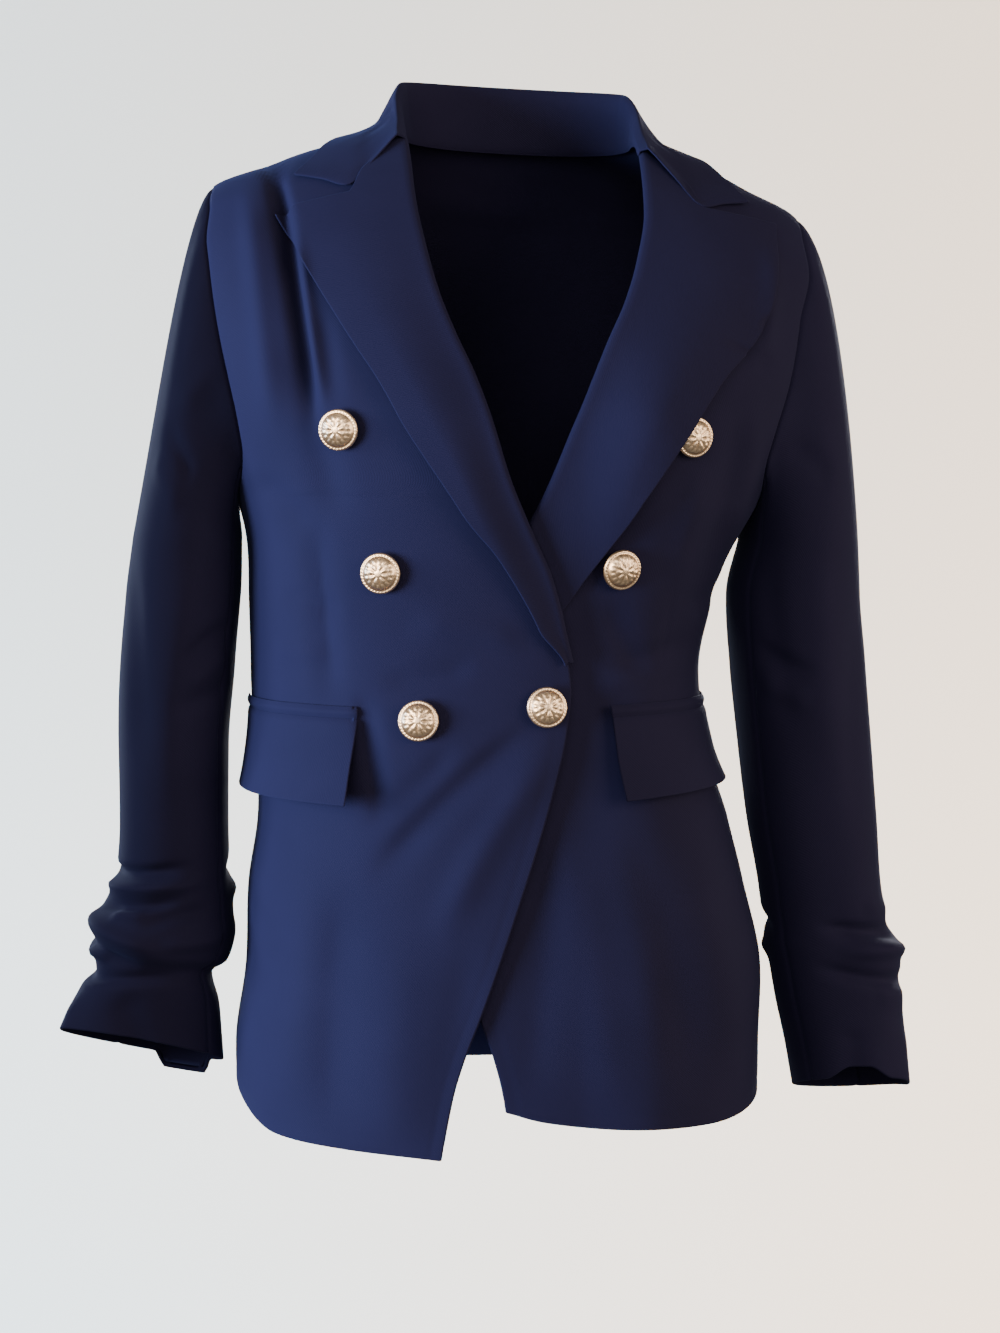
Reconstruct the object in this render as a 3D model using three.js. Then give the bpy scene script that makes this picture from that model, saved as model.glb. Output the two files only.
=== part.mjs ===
// A woman's double-breasted blazer, worn open-necked on a general figure: hollow, hem, neck and cuffs open.
// Millimetres, +Z up, the chest faces -Y and the wearer's right side is on -X.
// The origin is the middle of the neck hole at shoulder height, where the shoulders hold the garment up.
import * as THREE from "three";

const CLOTH = 2; // wall of every cloth piece
const SEAM = 0.3; // gap left between two pieces sewn together
const TOP = 2; // height of the highest shoulder point, at the side of the neck
const TIP = -40; // height of the shoulder tip, top of the armhole
const ARMPIT = -238; // height of the lowest point of the armhole
const NECK_SHIFT = 11; // the neck leans this far to the wearer's left
const LEAN = 0.045; // drop of the left shoulder for each millimetre across

// Level sections of the worn body of the jacket, from the hem up.
const BODY = [
  { z: -660, half: 174, front: 127, back: 120, power: 2.3, shift: -2 },
  { z: -600, half: 175, front: 127, back: 120, power: 2.3, shift: -2 },
  { z: -545, half: 172, front: 127, back: 119, power: 2.3, shift: 2 },
  { z: -490, half: 165, front: 125, back: 113, power: 2.3, shift: -3 },
  { z: -450, half: 157, front: 122, back: 106, power: 2.3, shift: -5 },
  { z: -400, half: 150, front: 118, back: 98, power: 2.3, shift: -13 },
  { z: -350, half: 149, front: 114, back: 94, power: 2.3, shift: -17 },
  { z: -305, half: 154, front: 116, back: 97, power: 2.3, shift: -13 },
  { z: -268, half: 161, front: 120, back: 101, power: 2.3, shift: -7 },
  { z: -238, half: 173, front: 124, back: 104, power: 2.3, shift: -2 },
  { z: -190, half: 191, front: 126, back: 107, power: 2.35, shift: 0 },
  { z: -150, half: 203, front: 118, back: 107, power: 2.4, shift: 1 },
  { z: -115, half: 211, front: 107, back: 105, power: 2.4, shift: 1 },
  { z: -85, half: 215, front: 95, back: 101, power: 2.4, shift: 3 },
  { z: -55, half: 205, front: 80, back: 94, power: 2.3, shift: 3 },
  { z: -40, half: 191, front: 71, back: 88, power: 2.2, shift: 4 },
  { z: -26, half: 159, front: 61, back: 81, power: 2.2, shift: 6 },
  { z: -16, half: 137, front: 53, back: 75, power: 2.2, shift: 8 },
  { z: -8, half: 114, front: 47, back: 70, power: 2.2, shift: 10 },
  { z: 2, half: 79, front: 40, back: 63, power: 2.1, shift: 11 },
];

// Depth of the armhole before and behind the shoulder line, by height.
const ARMHOLE = [
  { z: -238, front: 0, back: 0 },
  { z: -234, front: 27, back: 28 },
  { z: -222, front: 47, back: 49 },
  { z: -205, front: 58, back: 61 },
  { z: -180, front: 62, back: 67 },
  { z: -150, front: 60, back: 67 },
  { z: -115, front: 56, back: 62 },
  { z: -85, front: 48, back: 53 },
  { z: -60, front: 35, back: 39 },
  { z: -46, front: 19, back: 21 },
  { z: -40, front: 0, back: 0 },
];

// Where each front ends towards the middle: the cut edge below the waist, the roll of the lapel above it.
const FRONT_EDGE = [
  { z: -660, right: -50, left: -1 },
  { z: -613, right: -41, left: -8 },
  { z: -590, right: -34, left: -14 },
  { z: -564, right: -24, left: -23 },
  { z: -507, right: -4, left: -36 },
  { z: -415, right: 25, left: -46 },
  { z: -385, right: 32, left: -46 },
  { z: -358, right: 35, left: -42 },
  { z: -320, right: 28, left: -24 },
  { z: -287, right: 19, left: -6 },
  { z: -258, right: 6, left: 10 },
  { z: -225, right: -8, left: 26 },
  { z: -190, right: -19, left: 40 },
  { z: -160, right: -30, left: 52 },
  { z: -136, right: -41, left: 62 },
  { z: -110, right: -51, left: 74 },
  { z: -83, right: -58, left: 83 },
  { z: -50, right: -64, left: 90 },
  { z: -20, right: -66.5, left: 91 },
  { z: -8, right: -68.5, left: 91 },
  { z: 1, right: -68.5, left: 91 },
  { z: 2, right: -67.5, left: 89.5 },
];

// The hem of each front, from its front edge to the side seam.
const HEM = [
  { across: 0, right: -654, left: -625 },
  { across: 0.12, right: -652, left: -632 },
  { across: 0.35, right: -649, left: -638 },
  { across: 0.62, right: -645, left: -640 },
  { across: 0.85, right: -629, left: -634 },
  { across: 1, right: -619, left: -625 },
];
const BACK_HEM = { right: -619, middle: -632, left: -625 };

// Lapels: the height of the roll at each row, the outer edge across and up, and how far that edge stands off.
const LAPEL_RIGHT = [
  { row: 0, roll: -12, x: -149, z: -62, off: 4 },
  { row: 1, roll: -30, x: -138, z: -82, off: 4.5 },
  { row: 2, roll: -60, x: -122, z: -110, off: 5.5 },
  { row: 3, roll: -92, x: -104, z: -139, off: 7 },
  { row: 4, roll: -124, x: -86, z: -166, off: 8.5 },
  { row: 5, roll: -160, x: -67, z: -197, off: 10 },
  { row: 6, roll: -194, x: -48, z: -225, off: 10.5 },
  { row: 7, roll: -226, x: -31, z: -250, off: 10.5 },
  { row: 8, roll: -257, x: -13, z: -272, off: 10 },
  { row: 9, roll: -285, x: 1, z: -294, off: 9 },
  { row: 10, roll: -312, x: 13, z: -317, off: 7.5 },
  { row: 11, roll: -340, x: 23, z: -342, off: 5 },
];
const LAPEL_LEFT = [
  { row: 0, roll: -14, x: 174, z: -53, off: 4 },
  { row: 1, roll: -32, x: 171, z: -82, off: 4.5 },
  { row: 2, roll: -62, x: 164, z: -110, off: 5 },
  { row: 3, roll: -88, x: 151, z: -134, off: 6 },
  { row: 4, roll: -114, x: 133, z: -154, off: 8 },
  { row: 5, roll: -142, x: 114, z: -180, off: 11 },
  { row: 6, roll: -172, x: 97, z: -205, off: 13 },
  { row: 7, roll: -202, x: 80, z: -232, off: 12.5 },
  { row: 8, roll: -232, x: 64, z: -259, off: 9.5 },
  { row: 9, roll: -262, x: 47, z: -285, off: 6 },
  { row: 10, roll: -290, x: 28, z: -311, off: 4.2 },
  { row: 11, roll: -318, x: 4, z: -336, off: 4 },
];
const NOTCH = { across: 0.4, dip: 16.5 }; // where the top edge of a lapel bends, and how far below straight

// Collar, from the middle of the back round to its front end, for one side: the seam on the neck hole, the
// fold at the top of the stand, a point half-way down the leaf and the leaf's outer edge.
const COLLAR = [
  { at: 0, bx: 0, by: 60, bz: 4, fx: 0, fy: 60, fz: 42, mx: 0, my: 69, mz: 19, ex: 0, ey: 77, ez: -6 },
  { at: 1, bx: 43, by: 50, bz: 4, fx: 43, fy: 50, fz: 41, mx: 51, my: 58, mz: 19, ex: 60, ey: 66, ez: -5 },
  { at: 2, bx: 72, by: 23, bz: 4, fx: 75, fy: 24, fz: 37, mx: 86, my: 28, mz: 13, ex: 102, ey: 31, ez: -4 },
  { at: 3, bx: 78, by: -4, bz: 4, fx: 80, fy: -2, fz: 22, mx: 96, my: -5, mz: 3, ex: 118, ey: -8, ez: -6 },
  { at: 4, bx: 78, by: -28, bz: -1, fx: 80, fy: -24, fz: 7, mx: 106, my: -34, mz: -17, ex: 134, ey: -36, ez: -22 },
  { at: 5, bx: 78, by: -43, bz: -9, fx: 80, fy: -45, fz: -6, mx: 113, my: -65, mz: -42, ex: 147, ey: -50, ez: -37 },
];
const COLLAR_ROLL = 4; // half the thickness of the folded collar at the top

// Sleeves below the armpit: level of the ring, its middle, its half sizes, and how its plane tips.
const SLEEVE_RIGHT = [
  { z: -604, x: -239, y: -4, wide: 54, deep: 31, tipX: -0.23, tipY: -0.5 },
  { z: -587, x: -237, y: -3, wide: 51, deep: 33, tipX: -0.18, tipY: -0.36 },
  { z: -564, x: -233, y: -1, wide: 45, deep: 38, tipX: -0.14, tipY: -0.2 },
  { z: -547, x: -231, y: 0, wide: 39, deep: 41, tipX: -0.1, tipY: -0.12 },
  { z: -540, x: -228, y: 1, wide: 46, deep: 47, tipX: -0.1, tipY: -0.1 },
  { z: -524, x: -224, y: 2, wide: 47, deep: 49, tipX: -0.08, tipY: -0.06 },
  { z: -507, x: -221, y: 3, wide: 43, deep: 48, tipX: -0.02, tipY: 0 },
  { z: -488, x: -218, y: 4, wide: 38, deep: 47, tipX: 0, tipY: 0 },
  { z: -450, x: -217, y: 5, wide: 36, deep: 50, tipX: 0, tipY: 0 },
  { z: -400, x: -217, y: 6, wide: 36.5, deep: 54, tipX: 0, tipY: 0 },
  { z: -345, x: -214, y: 7, wide: 38, deep: 58, tipX: 0, tipY: 0 },
  { z: -300, x: -210, y: 7, wide: 38, deep: 60, tipX: 0, tipY: 0 },
  { z: -264, x: -207, y: 6, wide: 36, deep: 62, tipX: 0, tipY: 0 },
];
const SLEEVE_LEFT = [
  { z: -632, x: 239, y: -2, wide: 39.5, deep: 42, tipX: 0, tipY: -0.26 },
  { z: -604, x: 235, y: -1, wide: 40.5, deep: 42, tipX: 0, tipY: -0.2 },
  { z: -572, x: 230, y: 0, wide: 42.5, deep: 43, tipX: 0, tipY: -0.12 },
  { z: -552, x: 228, y: 1, wide: 44, deep: 44, tipX: 0, tipY: -0.08 },
  { z: -538, x: 226, y: 2, wide: 45, deep: 45, tipX: 0, tipY: -0.05 },
  { z: -522, x: 221, y: 3, wide: 41, deep: 45, tipX: 0, tipY: -0.02 },
  { z: -500, x: 218, y: 4, wide: 41, deep: 47, tipX: 0, tipY: 0 },
  { z: -450, x: 212, y: 6, wide: 43.5, deep: 51, tipX: 0, tipY: 0 },
  { z: -400, x: 207, y: 7, wide: 44.5, deep: 55, tipX: 0, tipY: 0 },
  { z: -345, x: 202, y: 8, wide: 45, deep: 59, tipX: 0, tipY: 0 },
  { z: -300, x: 199, y: 8, wide: 44, deep: 61, tipX: 0, tipY: 0 },
  { z: -264, x: 202, y: 7, wide: 39, deep: 62, tipX: 0, tipY: 0 },
];
const SLEEVE_POWER = 2.15; // squareness of a sleeve ring
const SLEEVE_AROUND = 20; // points round a sleeve
const CAP_ROWS = 6; // rings of the sleeve head, between armhole and armpit level
const CAP_RIGHT = { start: 0.07, end: 0.42, drift: 0.2 }; // fullness of the head at its two ends, and its spread
const CAP_LEFT = { start: 0.1, end: 0.46, drift: 0.06 };
const FRONT_SEAM = 8; // sleeve seam points, counted from the outside towards the front
const BACK_SEAM = -4;

// Pockets, one on each front: a narrow welt with a flap hanging below it.
const POCKET_Z = -366; // top of the welt
const POCKET_BACK = 90;
const WELT_TALL = 7;
const FLAP_TALL = 53;
const POCKET_DROP = 3; // how much lower the front end is
// Angle round the body, in degrees from straight ahead, of the front end; stand-off of the flap's lower
// corners; and swing of its lower edge round the body, in degrees.
const POCKET = {
  right: { from: 39.5, front: 17, back: 9, swing: 2.5 },
  left: { from: 37, front: 8, back: 4, swing: -2.5 },
};

// Buttons: across, up, and the piece each is sewn to.
const BUTTONS = [
  { name: "button_right_chest", x: -110, z: -197, side: -1 },
  { name: "button_right_bust", x: -84, z: -284, side: -1 },
  { name: "button_right_waist", x: -61, z: -377, side: -1 },
  { name: "button_closing", x: 19, z: -369, side: -1 },
  { name: "button_left_chest", x: 112, z: -195, side: 1 },
  { name: "button_left_bust", x: 68, z: -282, side: 1 },
];
const BUTTON_RADIUS = 13;
const BUTTON_SHANK = 3;

const NAVY = 0x20223f;
const GOLD = 0xc9a25e;

const blazer = new THREE.Group();
blazer.name = "double_breasted_blazer";

const clamp = THREE.MathUtils.clamp;
const mix = THREE.MathUtils.lerp;
const radians = THREE.MathUtils.degToRad;

// Reads a table at any value of its first column, smoothly and without overshoot.
function read(table, value) {
  const key = Object.keys(table[0])[0];
  const last = table.length - 1;
  let i = 0;
  while (i < last - 1 && value > table[i + 1][key]) i++;
  const step = table[i + 1][key] - table[i][key];
  const t = clamp((value - table[i][key]) / step, 0, 1);
  const found = {};
  for (const name of Object.keys(table[0])) {
    const slope = (j) => (table[j + 1][name] - table[j][name]) / (table[j + 1][key] - table[j][key]);
    const bend = (j) => {
      if (j === 0) return slope(0);
      if (j === last) return slope(last - 1);
      const a = slope(j - 1);
      const b = slope(j);
      return a * b <= 0 ? 0 : (2 * a * b) / (a + b);
    };
    const from = table[i][name];
    const to = table[i + 1][name];
    const rise = to - from;
    const a = bend(i) * step - rise;
    const b = rise - bend(i + 1) * step;
    found[name] = from + rise * t + t * (1 - t) * (a * (1 - t) + b * t);
  }
  return found;
}

// The shoulders lean: the wearer's left one hangs lower, less and less towards the waist.
function lean(p) {
  const fade = THREE.MathUtils.smoothstep(p.z, -320, -100);
  return new THREE.Vector3(p.x, p.y, p.z - LEAN * fade * p.x);
}

// A point of the body's outer face at a height and an angle, in degrees from straight ahead towards +X.
function around(z, degrees) {
  const s = read(BODY, z);
  const sin = Math.sin(radians(degrees));
  const cos = Math.cos(radians(degrees));
  const depth = cos > 0 ? s.front : s.back;
  const reach = Math.pow(Math.abs(sin) / s.half, s.power) + Math.pow(Math.abs(cos) / depth, s.power);
  const r = Math.pow(reach, -1 / s.power);
  return new THREE.Vector3(s.shift + r * sin, -r * cos, z);
}

// The angle at which the body's outer face stands at x in front, at height z.
function angleAtX(x, z) {
  const s = read(BODY, z);
  const share = Math.min(Math.abs(x - s.shift) / s.half, 0.999);
  const y = s.front * Math.pow(1 - Math.pow(share, s.power), 1 / s.power);
  return (Math.atan2(x - s.shift, y) * 180) / Math.PI;
}

// The angle of the armhole at height z, before or behind the shoulder line.
function armholeAngle(z, part) {
  const s = read(BODY, z);
  const y = z >= TIP || z <= ARMPIT ? 0 : read(ARMHOLE, z)[part];
  const depth = part === "front" ? s.front : s.back;
  const x = s.half * Math.pow(1 - Math.pow(y / depth, s.power), 1 / s.power);
  const angle = (Math.atan2(x, y) * 180) / Math.PI;
  return part === "front" ? angle : 180 - angle;
}

// How far a point stands outside the body's outer face, and the direction straight off it.
function level(p) {
  const s = read(BODY, p.z);
  const depth = p.y < 0 ? s.front : s.back;
  const wide = Math.pow(Math.abs(p.x - s.shift) / s.half, s.power);
  return Math.pow(wide + Math.pow(Math.abs(p.y) / depth, s.power), 1 / s.power) - 1;
}
function outward(p) {
  const h = 0.5;
  const change = (x, y, z) =>
    level(new THREE.Vector3(p.x + x, p.y + y, p.z + z)) - level(new THREE.Vector3(p.x - x, p.y - y, p.z - z));
  return new THREE.Vector3(change(h, 0, 0), change(0, h, 0), change(0, 0, h)).divideScalar(2 * h);
}

// A point of the body moved straight off its face.
function off(p, distance) {
  return p.clone().addScaledVector(outward(p).normalize(), distance);
}

// A point pushed out, where it needs it, until it stands at least so far off the body.
function clear(p, distance) {
  const q = p.clone();
  for (let i = 0; i < 4 && q.z < TOP; i++) {
    const way = outward(q);
    const gap = level(q) / way.length();
    if (gap >= distance) break;
    q.addScaledVector(way.normalize(), distance - gap);
  }
  return q;
}

// The left front passes under the right one, so near the middle it lies this far inside the body's face.
function tuck(side, p) {
  if (side < 0) return 0;
  const low = 1 - THREE.MathUtils.smoothstep(p.z, -220, -120);
  return 7.5 * low * (1 - THREE.MathUtils.smoothstep(p.x, 40, 95));
}

// Closes a grid of outer points into a wall of cloth. Seen from outside, rows run upwards and points to the right.
// A grid with spare points has one more at each end of its rows, which only steer the wall at the seams.
function cloth(name, rows, spare = 0) {
  const tall = rows.length;
  const full = rows[0].length;
  const wide = full - 2 * spare;
  const leaning = rows.map((row) => row.map(lean));
  const at = (i, j) => leaning[clamp(i, 0, tall - 1)][clamp(j + spare, 0, full - 1)];
  const points = leaning.flatMap((row) => row.slice(spare, full - spare));
  const inside = points.map((p, k) => {
    const i = Math.floor(k / wide);
    const j = k % wide;
    const along = at(i, j + 1).clone().sub(at(i, j - 1));
    const up = at(i + 1, j).clone().sub(at(i - 1, j));
    return p.clone().addScaledVector(along.cross(up).normalize(), -CLOTH);
  });
  const count = points.length;
  const faces = [];
  const quad = (a, b, c, d) => faces.push(a, b, c, a, c, d);
  const rim = (a, b) => quad(b, a, a + count, b + count);
  for (let i = 0; i < tall - 1; i++) {
    for (let j = 0; j < wide - 1; j++) {
      const a = i * wide + j;
      quad(a, a + 1, a + 1 + wide, a + wide);
      quad(a + count, a + wide + count, a + 1 + wide + count, a + 1 + count);
    }
    rim(i * wide + wide - 1, (i + 1) * wide + wide - 1);
    rim((i + 1) * wide, i * wide);
  }
  for (let j = 0; j < wide - 1; j++) {
    rim(j, j + 1);
    rim((tall - 1) * wide + j + 1, (tall - 1) * wide + j);
  }
  const geometry = new THREE.BufferGeometry().setFromPoints(points.concat(inside));
  geometry.setIndex(faces);
  geometry.computeVertexNormals();
  const mesh = new THREE.Mesh(geometry, new THREE.MeshStandardMaterial({ color: NAVY, roughness: 0.85 }));
  mesh.name = name;
  blazer.add(mesh);
}

// Heights of the rows shared by fronts, back and sleeve heads, so their armhole edges match point for point.
const armholeHeights = [];
for (let k = SLEEVE_AROUND / 2; k >= 0; k--) {
  armholeHeights.push((TIP + ARMPIT) / 2 + ((TIP - ARMPIT) / 2) * Math.cos((2 * Math.PI * k) / SLEEVE_AROUND));
}
const heights = [-648, -622, -596, -566, -536, -502, -468, -434, -402, -374, -350, -322, -294, -264]
  .concat(armholeHeights)
  .concat([-33, -26, -18, -11, -4, TOP]);

// The outer side of a panel: the side seam, the armhole or the shoulder seam, half a seam gap short of it.
function seamAngle(z, part) {
  const back = (SEAM / 2 / read(BODY, z).half) * (180 / Math.PI);
  const angle = armholeAngle(z, part);
  return part === "front" ? angle - back : angle + back;
}

// Lower rows swing from level to the line of the hem.
function towardsHem(z, hem) {
  const low = 1 - THREE.MathUtils.smoothstep(z, heights[0], -500);
  return z + (hem - heights[0]) * low;
}

// Inner points of a panel keep to this even side line; only the last few bend to the armhole.
function sideAngle(z, part) {
  const even = 90 - 20 * THREE.MathUtils.smoothstep(z, -330, -200);
  if (z > -200) return armholeAngle(z, part);
  return part === "front" ? even : 180 - even;
}
function spread(inner, z, part, across) {
  const even = sideAngle(z, part);
  return mix(inner, even, across) + (seamAngle(z, part) - even) * Math.pow(clamp(across, 0, 2), 4);
}

const FRONT_COLUMNS = 10;
function front(side) {
  const which = side < 0 ? "right" : "left";
  return heights.map((z) => {
    const row = [];
    for (let k = -1; k <= FRONT_COLUMNS + 1; k++) {
      const across = k / FRONT_COLUMNS;
      const high = towardsHem(z, read(HEM, across)[which]);
      const inner = side * angleAtX(read(FRONT_EDGE, high)[which], high);
      const p = around(high, side * spread(inner, high, "front", across));
      row.push(off(p, -tuck(side, p)));
    }
    return side < 0 ? row.reverse() : row;
  });
}
cloth("front_right", front(-1), 1);
cloth("front_left", front(1), 1);

const BACK_COLUMNS = 12;
function back() {
  return heights.map((z) => {
    const row = [];
    for (let k = -1; k <= BACK_COLUMNS + 1; k++) {
      const across = (2 * k) / BACK_COLUMNS - 1;
      const corner = across < 0 ? BACK_HEM.left : BACK_HEM.right;
      const high = towardsHem(z, mix(BACK_HEM.middle, corner, across * across));
      const half = 180 - spread(180, high, "back", Math.abs(across));
      row.push(around(high, 180 + Math.sign(across) * half));
    }
    return row;
  });
}
cloth("back", back(), 1);

// One point of a sleeve ring; turn counts points from the outside, towards the front.
function ring(side, s, turn) {
  const a = (2 * Math.PI * turn) / SLEEVE_AROUND;
  const cos = Math.cos(a);
  const sin = Math.sin(a);
  const reach = Math.pow(Math.abs(cos), SLEEVE_POWER) + Math.pow(Math.abs(sin), SLEEVE_POWER);
  const r = Math.pow(reach, -1 / SLEEVE_POWER);
  const x = side * s.wide * r * cos;
  const y = -s.deep * r * sin;
  return new THREE.Vector3(s.x + x, s.y + y, s.z + s.tipX * x + s.tipY * y);
}

// The sleeve head runs from the armhole out over the shoulder and down to the first full ring.
function sleeve(side, table, cap, from, to) {
  const rows = [];
  const turns = [];
  const trim = 0.045; // share of a step kept clear at each seam
  for (let k = from - 1; k <= to + 1; k++) turns.push(k === from ? k + trim : k === to ? k - trim : k);
  for (const s of table) rows.push(turns.map((turn) => ring(side, s, turn)));
  const highest = table[table.length - 1];
  for (let i = CAP_ROWS - 1; i >= 0; i--) {
    const t = i / CAP_ROWS;
    rows.push(
      turns.map((turn) => {
        const a = (2 * Math.PI * turn) / SLEEVE_AROUND;
        const z = (TIP + ARMPIT) / 2 + ((TIP - ARMPIT) / 2) * Math.cos(a);
        const part = Math.sin(a) > 0 ? "front" : "back";
        const start = around(z, side * armholeAngle(z, part));
        start.x += side * 1;
        const end = ring(side, highest, turn);
        const long = start.distanceTo(end);
        const second = start.clone().add(new THREE.Vector3(side, 0, -0.28).multiplyScalar(cap.start * long));
        const outer = Math.max(0, Math.cos(a));
        const third = end.clone().add(new THREE.Vector3(-side * cap.drift * outer, 0, 1).multiplyScalar(cap.end * long));
        return new THREE.CubicBezierCurve3(start, second, third, end).getPoint(t);
      }),
    );
  }
  return side < 0 ? rows : rows.map((row) => row.reverse());
}
const UNDER_END = SLEEVE_AROUND + BACK_SEAM;
cloth("sleeve_top_right", sleeve(-1, SLEEVE_RIGHT, CAP_RIGHT, BACK_SEAM, FRONT_SEAM), 1);
cloth("sleeve_under_right", sleeve(-1, SLEEVE_RIGHT, CAP_RIGHT, FRONT_SEAM, UNDER_END), 1);
cloth("sleeve_top_left", sleeve(1, SLEEVE_LEFT, CAP_LEFT, BACK_SEAM, FRONT_SEAM), 1);
cloth("sleeve_under_left", sleeve(1, SLEEVE_LEFT, CAP_LEFT, FRONT_SEAM, UNDER_END), 1);

// A lapel turns round the edge of its front at the roll and lies back over it, standing off a little.
const LAPEL_TURN = [
  { beyond: 2.8, off: -CLOTH },
  { beyond: 3.5, off: 1.2 },
  { beyond: 1, off: 3.6 },
];
const LAPEL_COLUMNS = 5;
function lapel(side, table) {
  const which = side < 0 ? "right" : "left";
  const rows = [];
  for (let i = table.length - 1; i >= 0; i--) {
    const s = table[i];
    const rollX = read(FRONT_EDGE, s.roll)[which];
    const row = LAPEL_TURN.map((turn) => {
      const p = around(s.roll, angleAtX(rollX - side * turn.beyond, s.roll));
      return off(p, turn.off - tuck(side, p));
    });
    for (let k = 1; k <= LAPEL_COLUMNS; k++) {
      const across = k / LAPEL_COLUMNS;
      const bent = Math.max(0, 1 - i / 2) * NOTCH.dip * (1 - Math.abs(across - NOTCH.across) / (1 - NOTCH.across));
      const x = mix(rollX, s.x, across);
      const z = mix(s.roll, s.z, across) - Math.max(0, bent);
      const p = around(z, angleAtX(x, z));
      const rise = mix(3.6, s.off, Math.min(1, across * (i < 8 ? 1.6 : 1)));
      row.push(off(p, rise - tuck(side, p)));
    }
    rows.push(side < 0 ? row.reverse() : row);
  }
  return rows;
}
cloth("lapel_right", lapel(-1, LAPEL_RIGHT));
cloth("lapel_left", lapel(1, LAPEL_LEFT));

// The collar's stand rises from the neck seam, folds over and falls as the leaf.
const COLLAR_STEPS = 2; // stations between two rows of the table
function collar() {
  const stations = [];
  const end = COLLAR[COLLAR.length - 1].at;
  for (let k = -end * COLLAR_STEPS; k <= end * COLLAR_STEPS; k++) {
    const side = k < 0 ? -1 : 1;
    const s = read(COLLAR, Math.abs(k) / COLLAR_STEPS);
    const point = (x, y, z) => new THREE.Vector3(NECK_SHIFT + side * x, y, z);
    const base = point(s.bx, s.by, s.bz);
    const fold = point(s.fx, s.fy, s.fz);
    const half = point(s.mx, s.my, s.mz);
    const edge = point(s.ex, s.ey, s.ez);
    const out = half.clone().sub(base).setZ(0).normalize().multiplyScalar(COLLAR_ROLL);
    const low = Math.min(5, (s.fz - s.bz) / 3);
    const inner = fold.clone().sub(out).setZ(fold.z - low);
    const outer = fold.clone().add(out).setZ(fold.z - low);
    stations.push([
      base.clone().sub(out),
      base.clone().sub(out).lerp(inner, 0.5),
      inner,
      fold,
      outer,
      clear(outer.clone().lerp(half, 0.5), CLOTH + 1.3),
      clear(half, CLOTH + 1.3),
      clear(half.clone().lerp(edge, 0.5), CLOTH + 1.3),
      clear(edge, CLOTH + 1.3),
    ]);
  }
  return stations[0].map((_, i) => stations.map((station) => station[i]));
}
cloth("collar", collar());

// Pocket pieces lie on the panel and are made from its points.
const POCKET_COLUMNS = 8;
function pocket(side, which) {
  const corner = POCKET[which];
  const grid = (downs, height, swing, stand) =>
    downs.map((down) => {
      const row = [];
      for (let k = 0; k <= POCKET_COLUMNS; k++) {
        const back = k / POCKET_COLUMNS;
        const angle = mix(corner.from, POCKET_BACK, back) + swing * down;
        const z = POCKET_Z - POCKET_DROP * (1 - back) - height(down, back);
        row.push(off(around(z, side * angle), CLOTH + 0.8 + stand(down, back)));
      }
      return side < 0 ? row.reverse() : row;
    });
  cloth("welt_" + which, grid([1, 0], (down) => WELT_TALL * down, 0, () => 0));
  const hang = (down, back) => WELT_TALL + SEAM + down * (FLAP_TALL - 4 * back);
  const lift = (down, back) => mix(corner.front, corner.back, back) * Math.pow(down, 1.3);
  cloth("flap_" + which, grid([1, 0.75, 0.5, 0.25, 0], hang, corner.swing, lift));
}
pocket(-1, "right");
pocket(1, "left");

// A domed metal button on a short shank, turned about its own axis.
for (const b of BUTTONS) {
  const r = BUTTON_RADIUS;
  const low = BUTTON_SHANK;
  const profile = [
    [0, 0.5],
    [3, 0.5],
    [3, low],
    [r - 1.5, low],
    [r, low + 1],
    [r, low + 1.8],
    [r - 1.6, low + 2.6],
    [r - 4, low + 4.6],
    [r - 7.5, low + 6.1],
    [0, low + 6.8],
  ].map(([x, y]) => new THREE.Vector2(x, y));
  const solid = new THREE.LatheGeometry(profile, 20);
  const button = new THREE.Mesh(solid, new THREE.MeshStandardMaterial({ color: GOLD, metalness: 1, roughness: 0.3 }));
  const seat = around(b.z, angleAtX(b.x, b.z));
  const place = lean(off(seat, -tuck(b.side, seat)));
  button.position.copy(place);
  button.quaternion.setFromUnitVectors(new THREE.Vector3(0, 1, 0), outward(seat).normalize());
  button.name = b.name;
  blazer.add(button);
}

export default blazer;
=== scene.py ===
# A woman's navy double-breasted blazer in its worn shape, hollow, with its buttons, on a pale studio floor.
# Tables and lengths are in millimetres in the part's own frame: +Z up, the chest faces -Y, the wearer's
# right side is on -X. Meshes are handed to Blender in metres.
import math
import bpy
import numpy as np
from mathutils import Matrix, Vector


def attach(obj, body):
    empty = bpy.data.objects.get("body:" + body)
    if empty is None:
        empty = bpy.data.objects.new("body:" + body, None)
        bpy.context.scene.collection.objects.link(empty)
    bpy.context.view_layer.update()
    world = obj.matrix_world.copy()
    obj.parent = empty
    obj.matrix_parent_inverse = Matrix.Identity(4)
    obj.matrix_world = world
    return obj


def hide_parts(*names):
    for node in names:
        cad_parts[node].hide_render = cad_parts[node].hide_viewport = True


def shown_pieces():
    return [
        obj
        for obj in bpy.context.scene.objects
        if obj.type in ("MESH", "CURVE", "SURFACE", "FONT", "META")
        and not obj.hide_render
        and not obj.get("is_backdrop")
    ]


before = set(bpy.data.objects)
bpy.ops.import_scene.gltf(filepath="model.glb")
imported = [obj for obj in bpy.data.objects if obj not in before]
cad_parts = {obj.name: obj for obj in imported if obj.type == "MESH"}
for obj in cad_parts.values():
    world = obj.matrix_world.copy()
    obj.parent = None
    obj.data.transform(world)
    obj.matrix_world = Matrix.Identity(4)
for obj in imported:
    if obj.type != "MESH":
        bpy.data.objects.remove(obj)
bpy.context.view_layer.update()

# ---- sizes of the worn form
CLOTH = 2.0  # wall of every cloth piece
TOP = 2.0  # height of the highest shoulder point, at the side of the neck
TIP = -40.0  # height of the shoulder tip, top of the armhole
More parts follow.
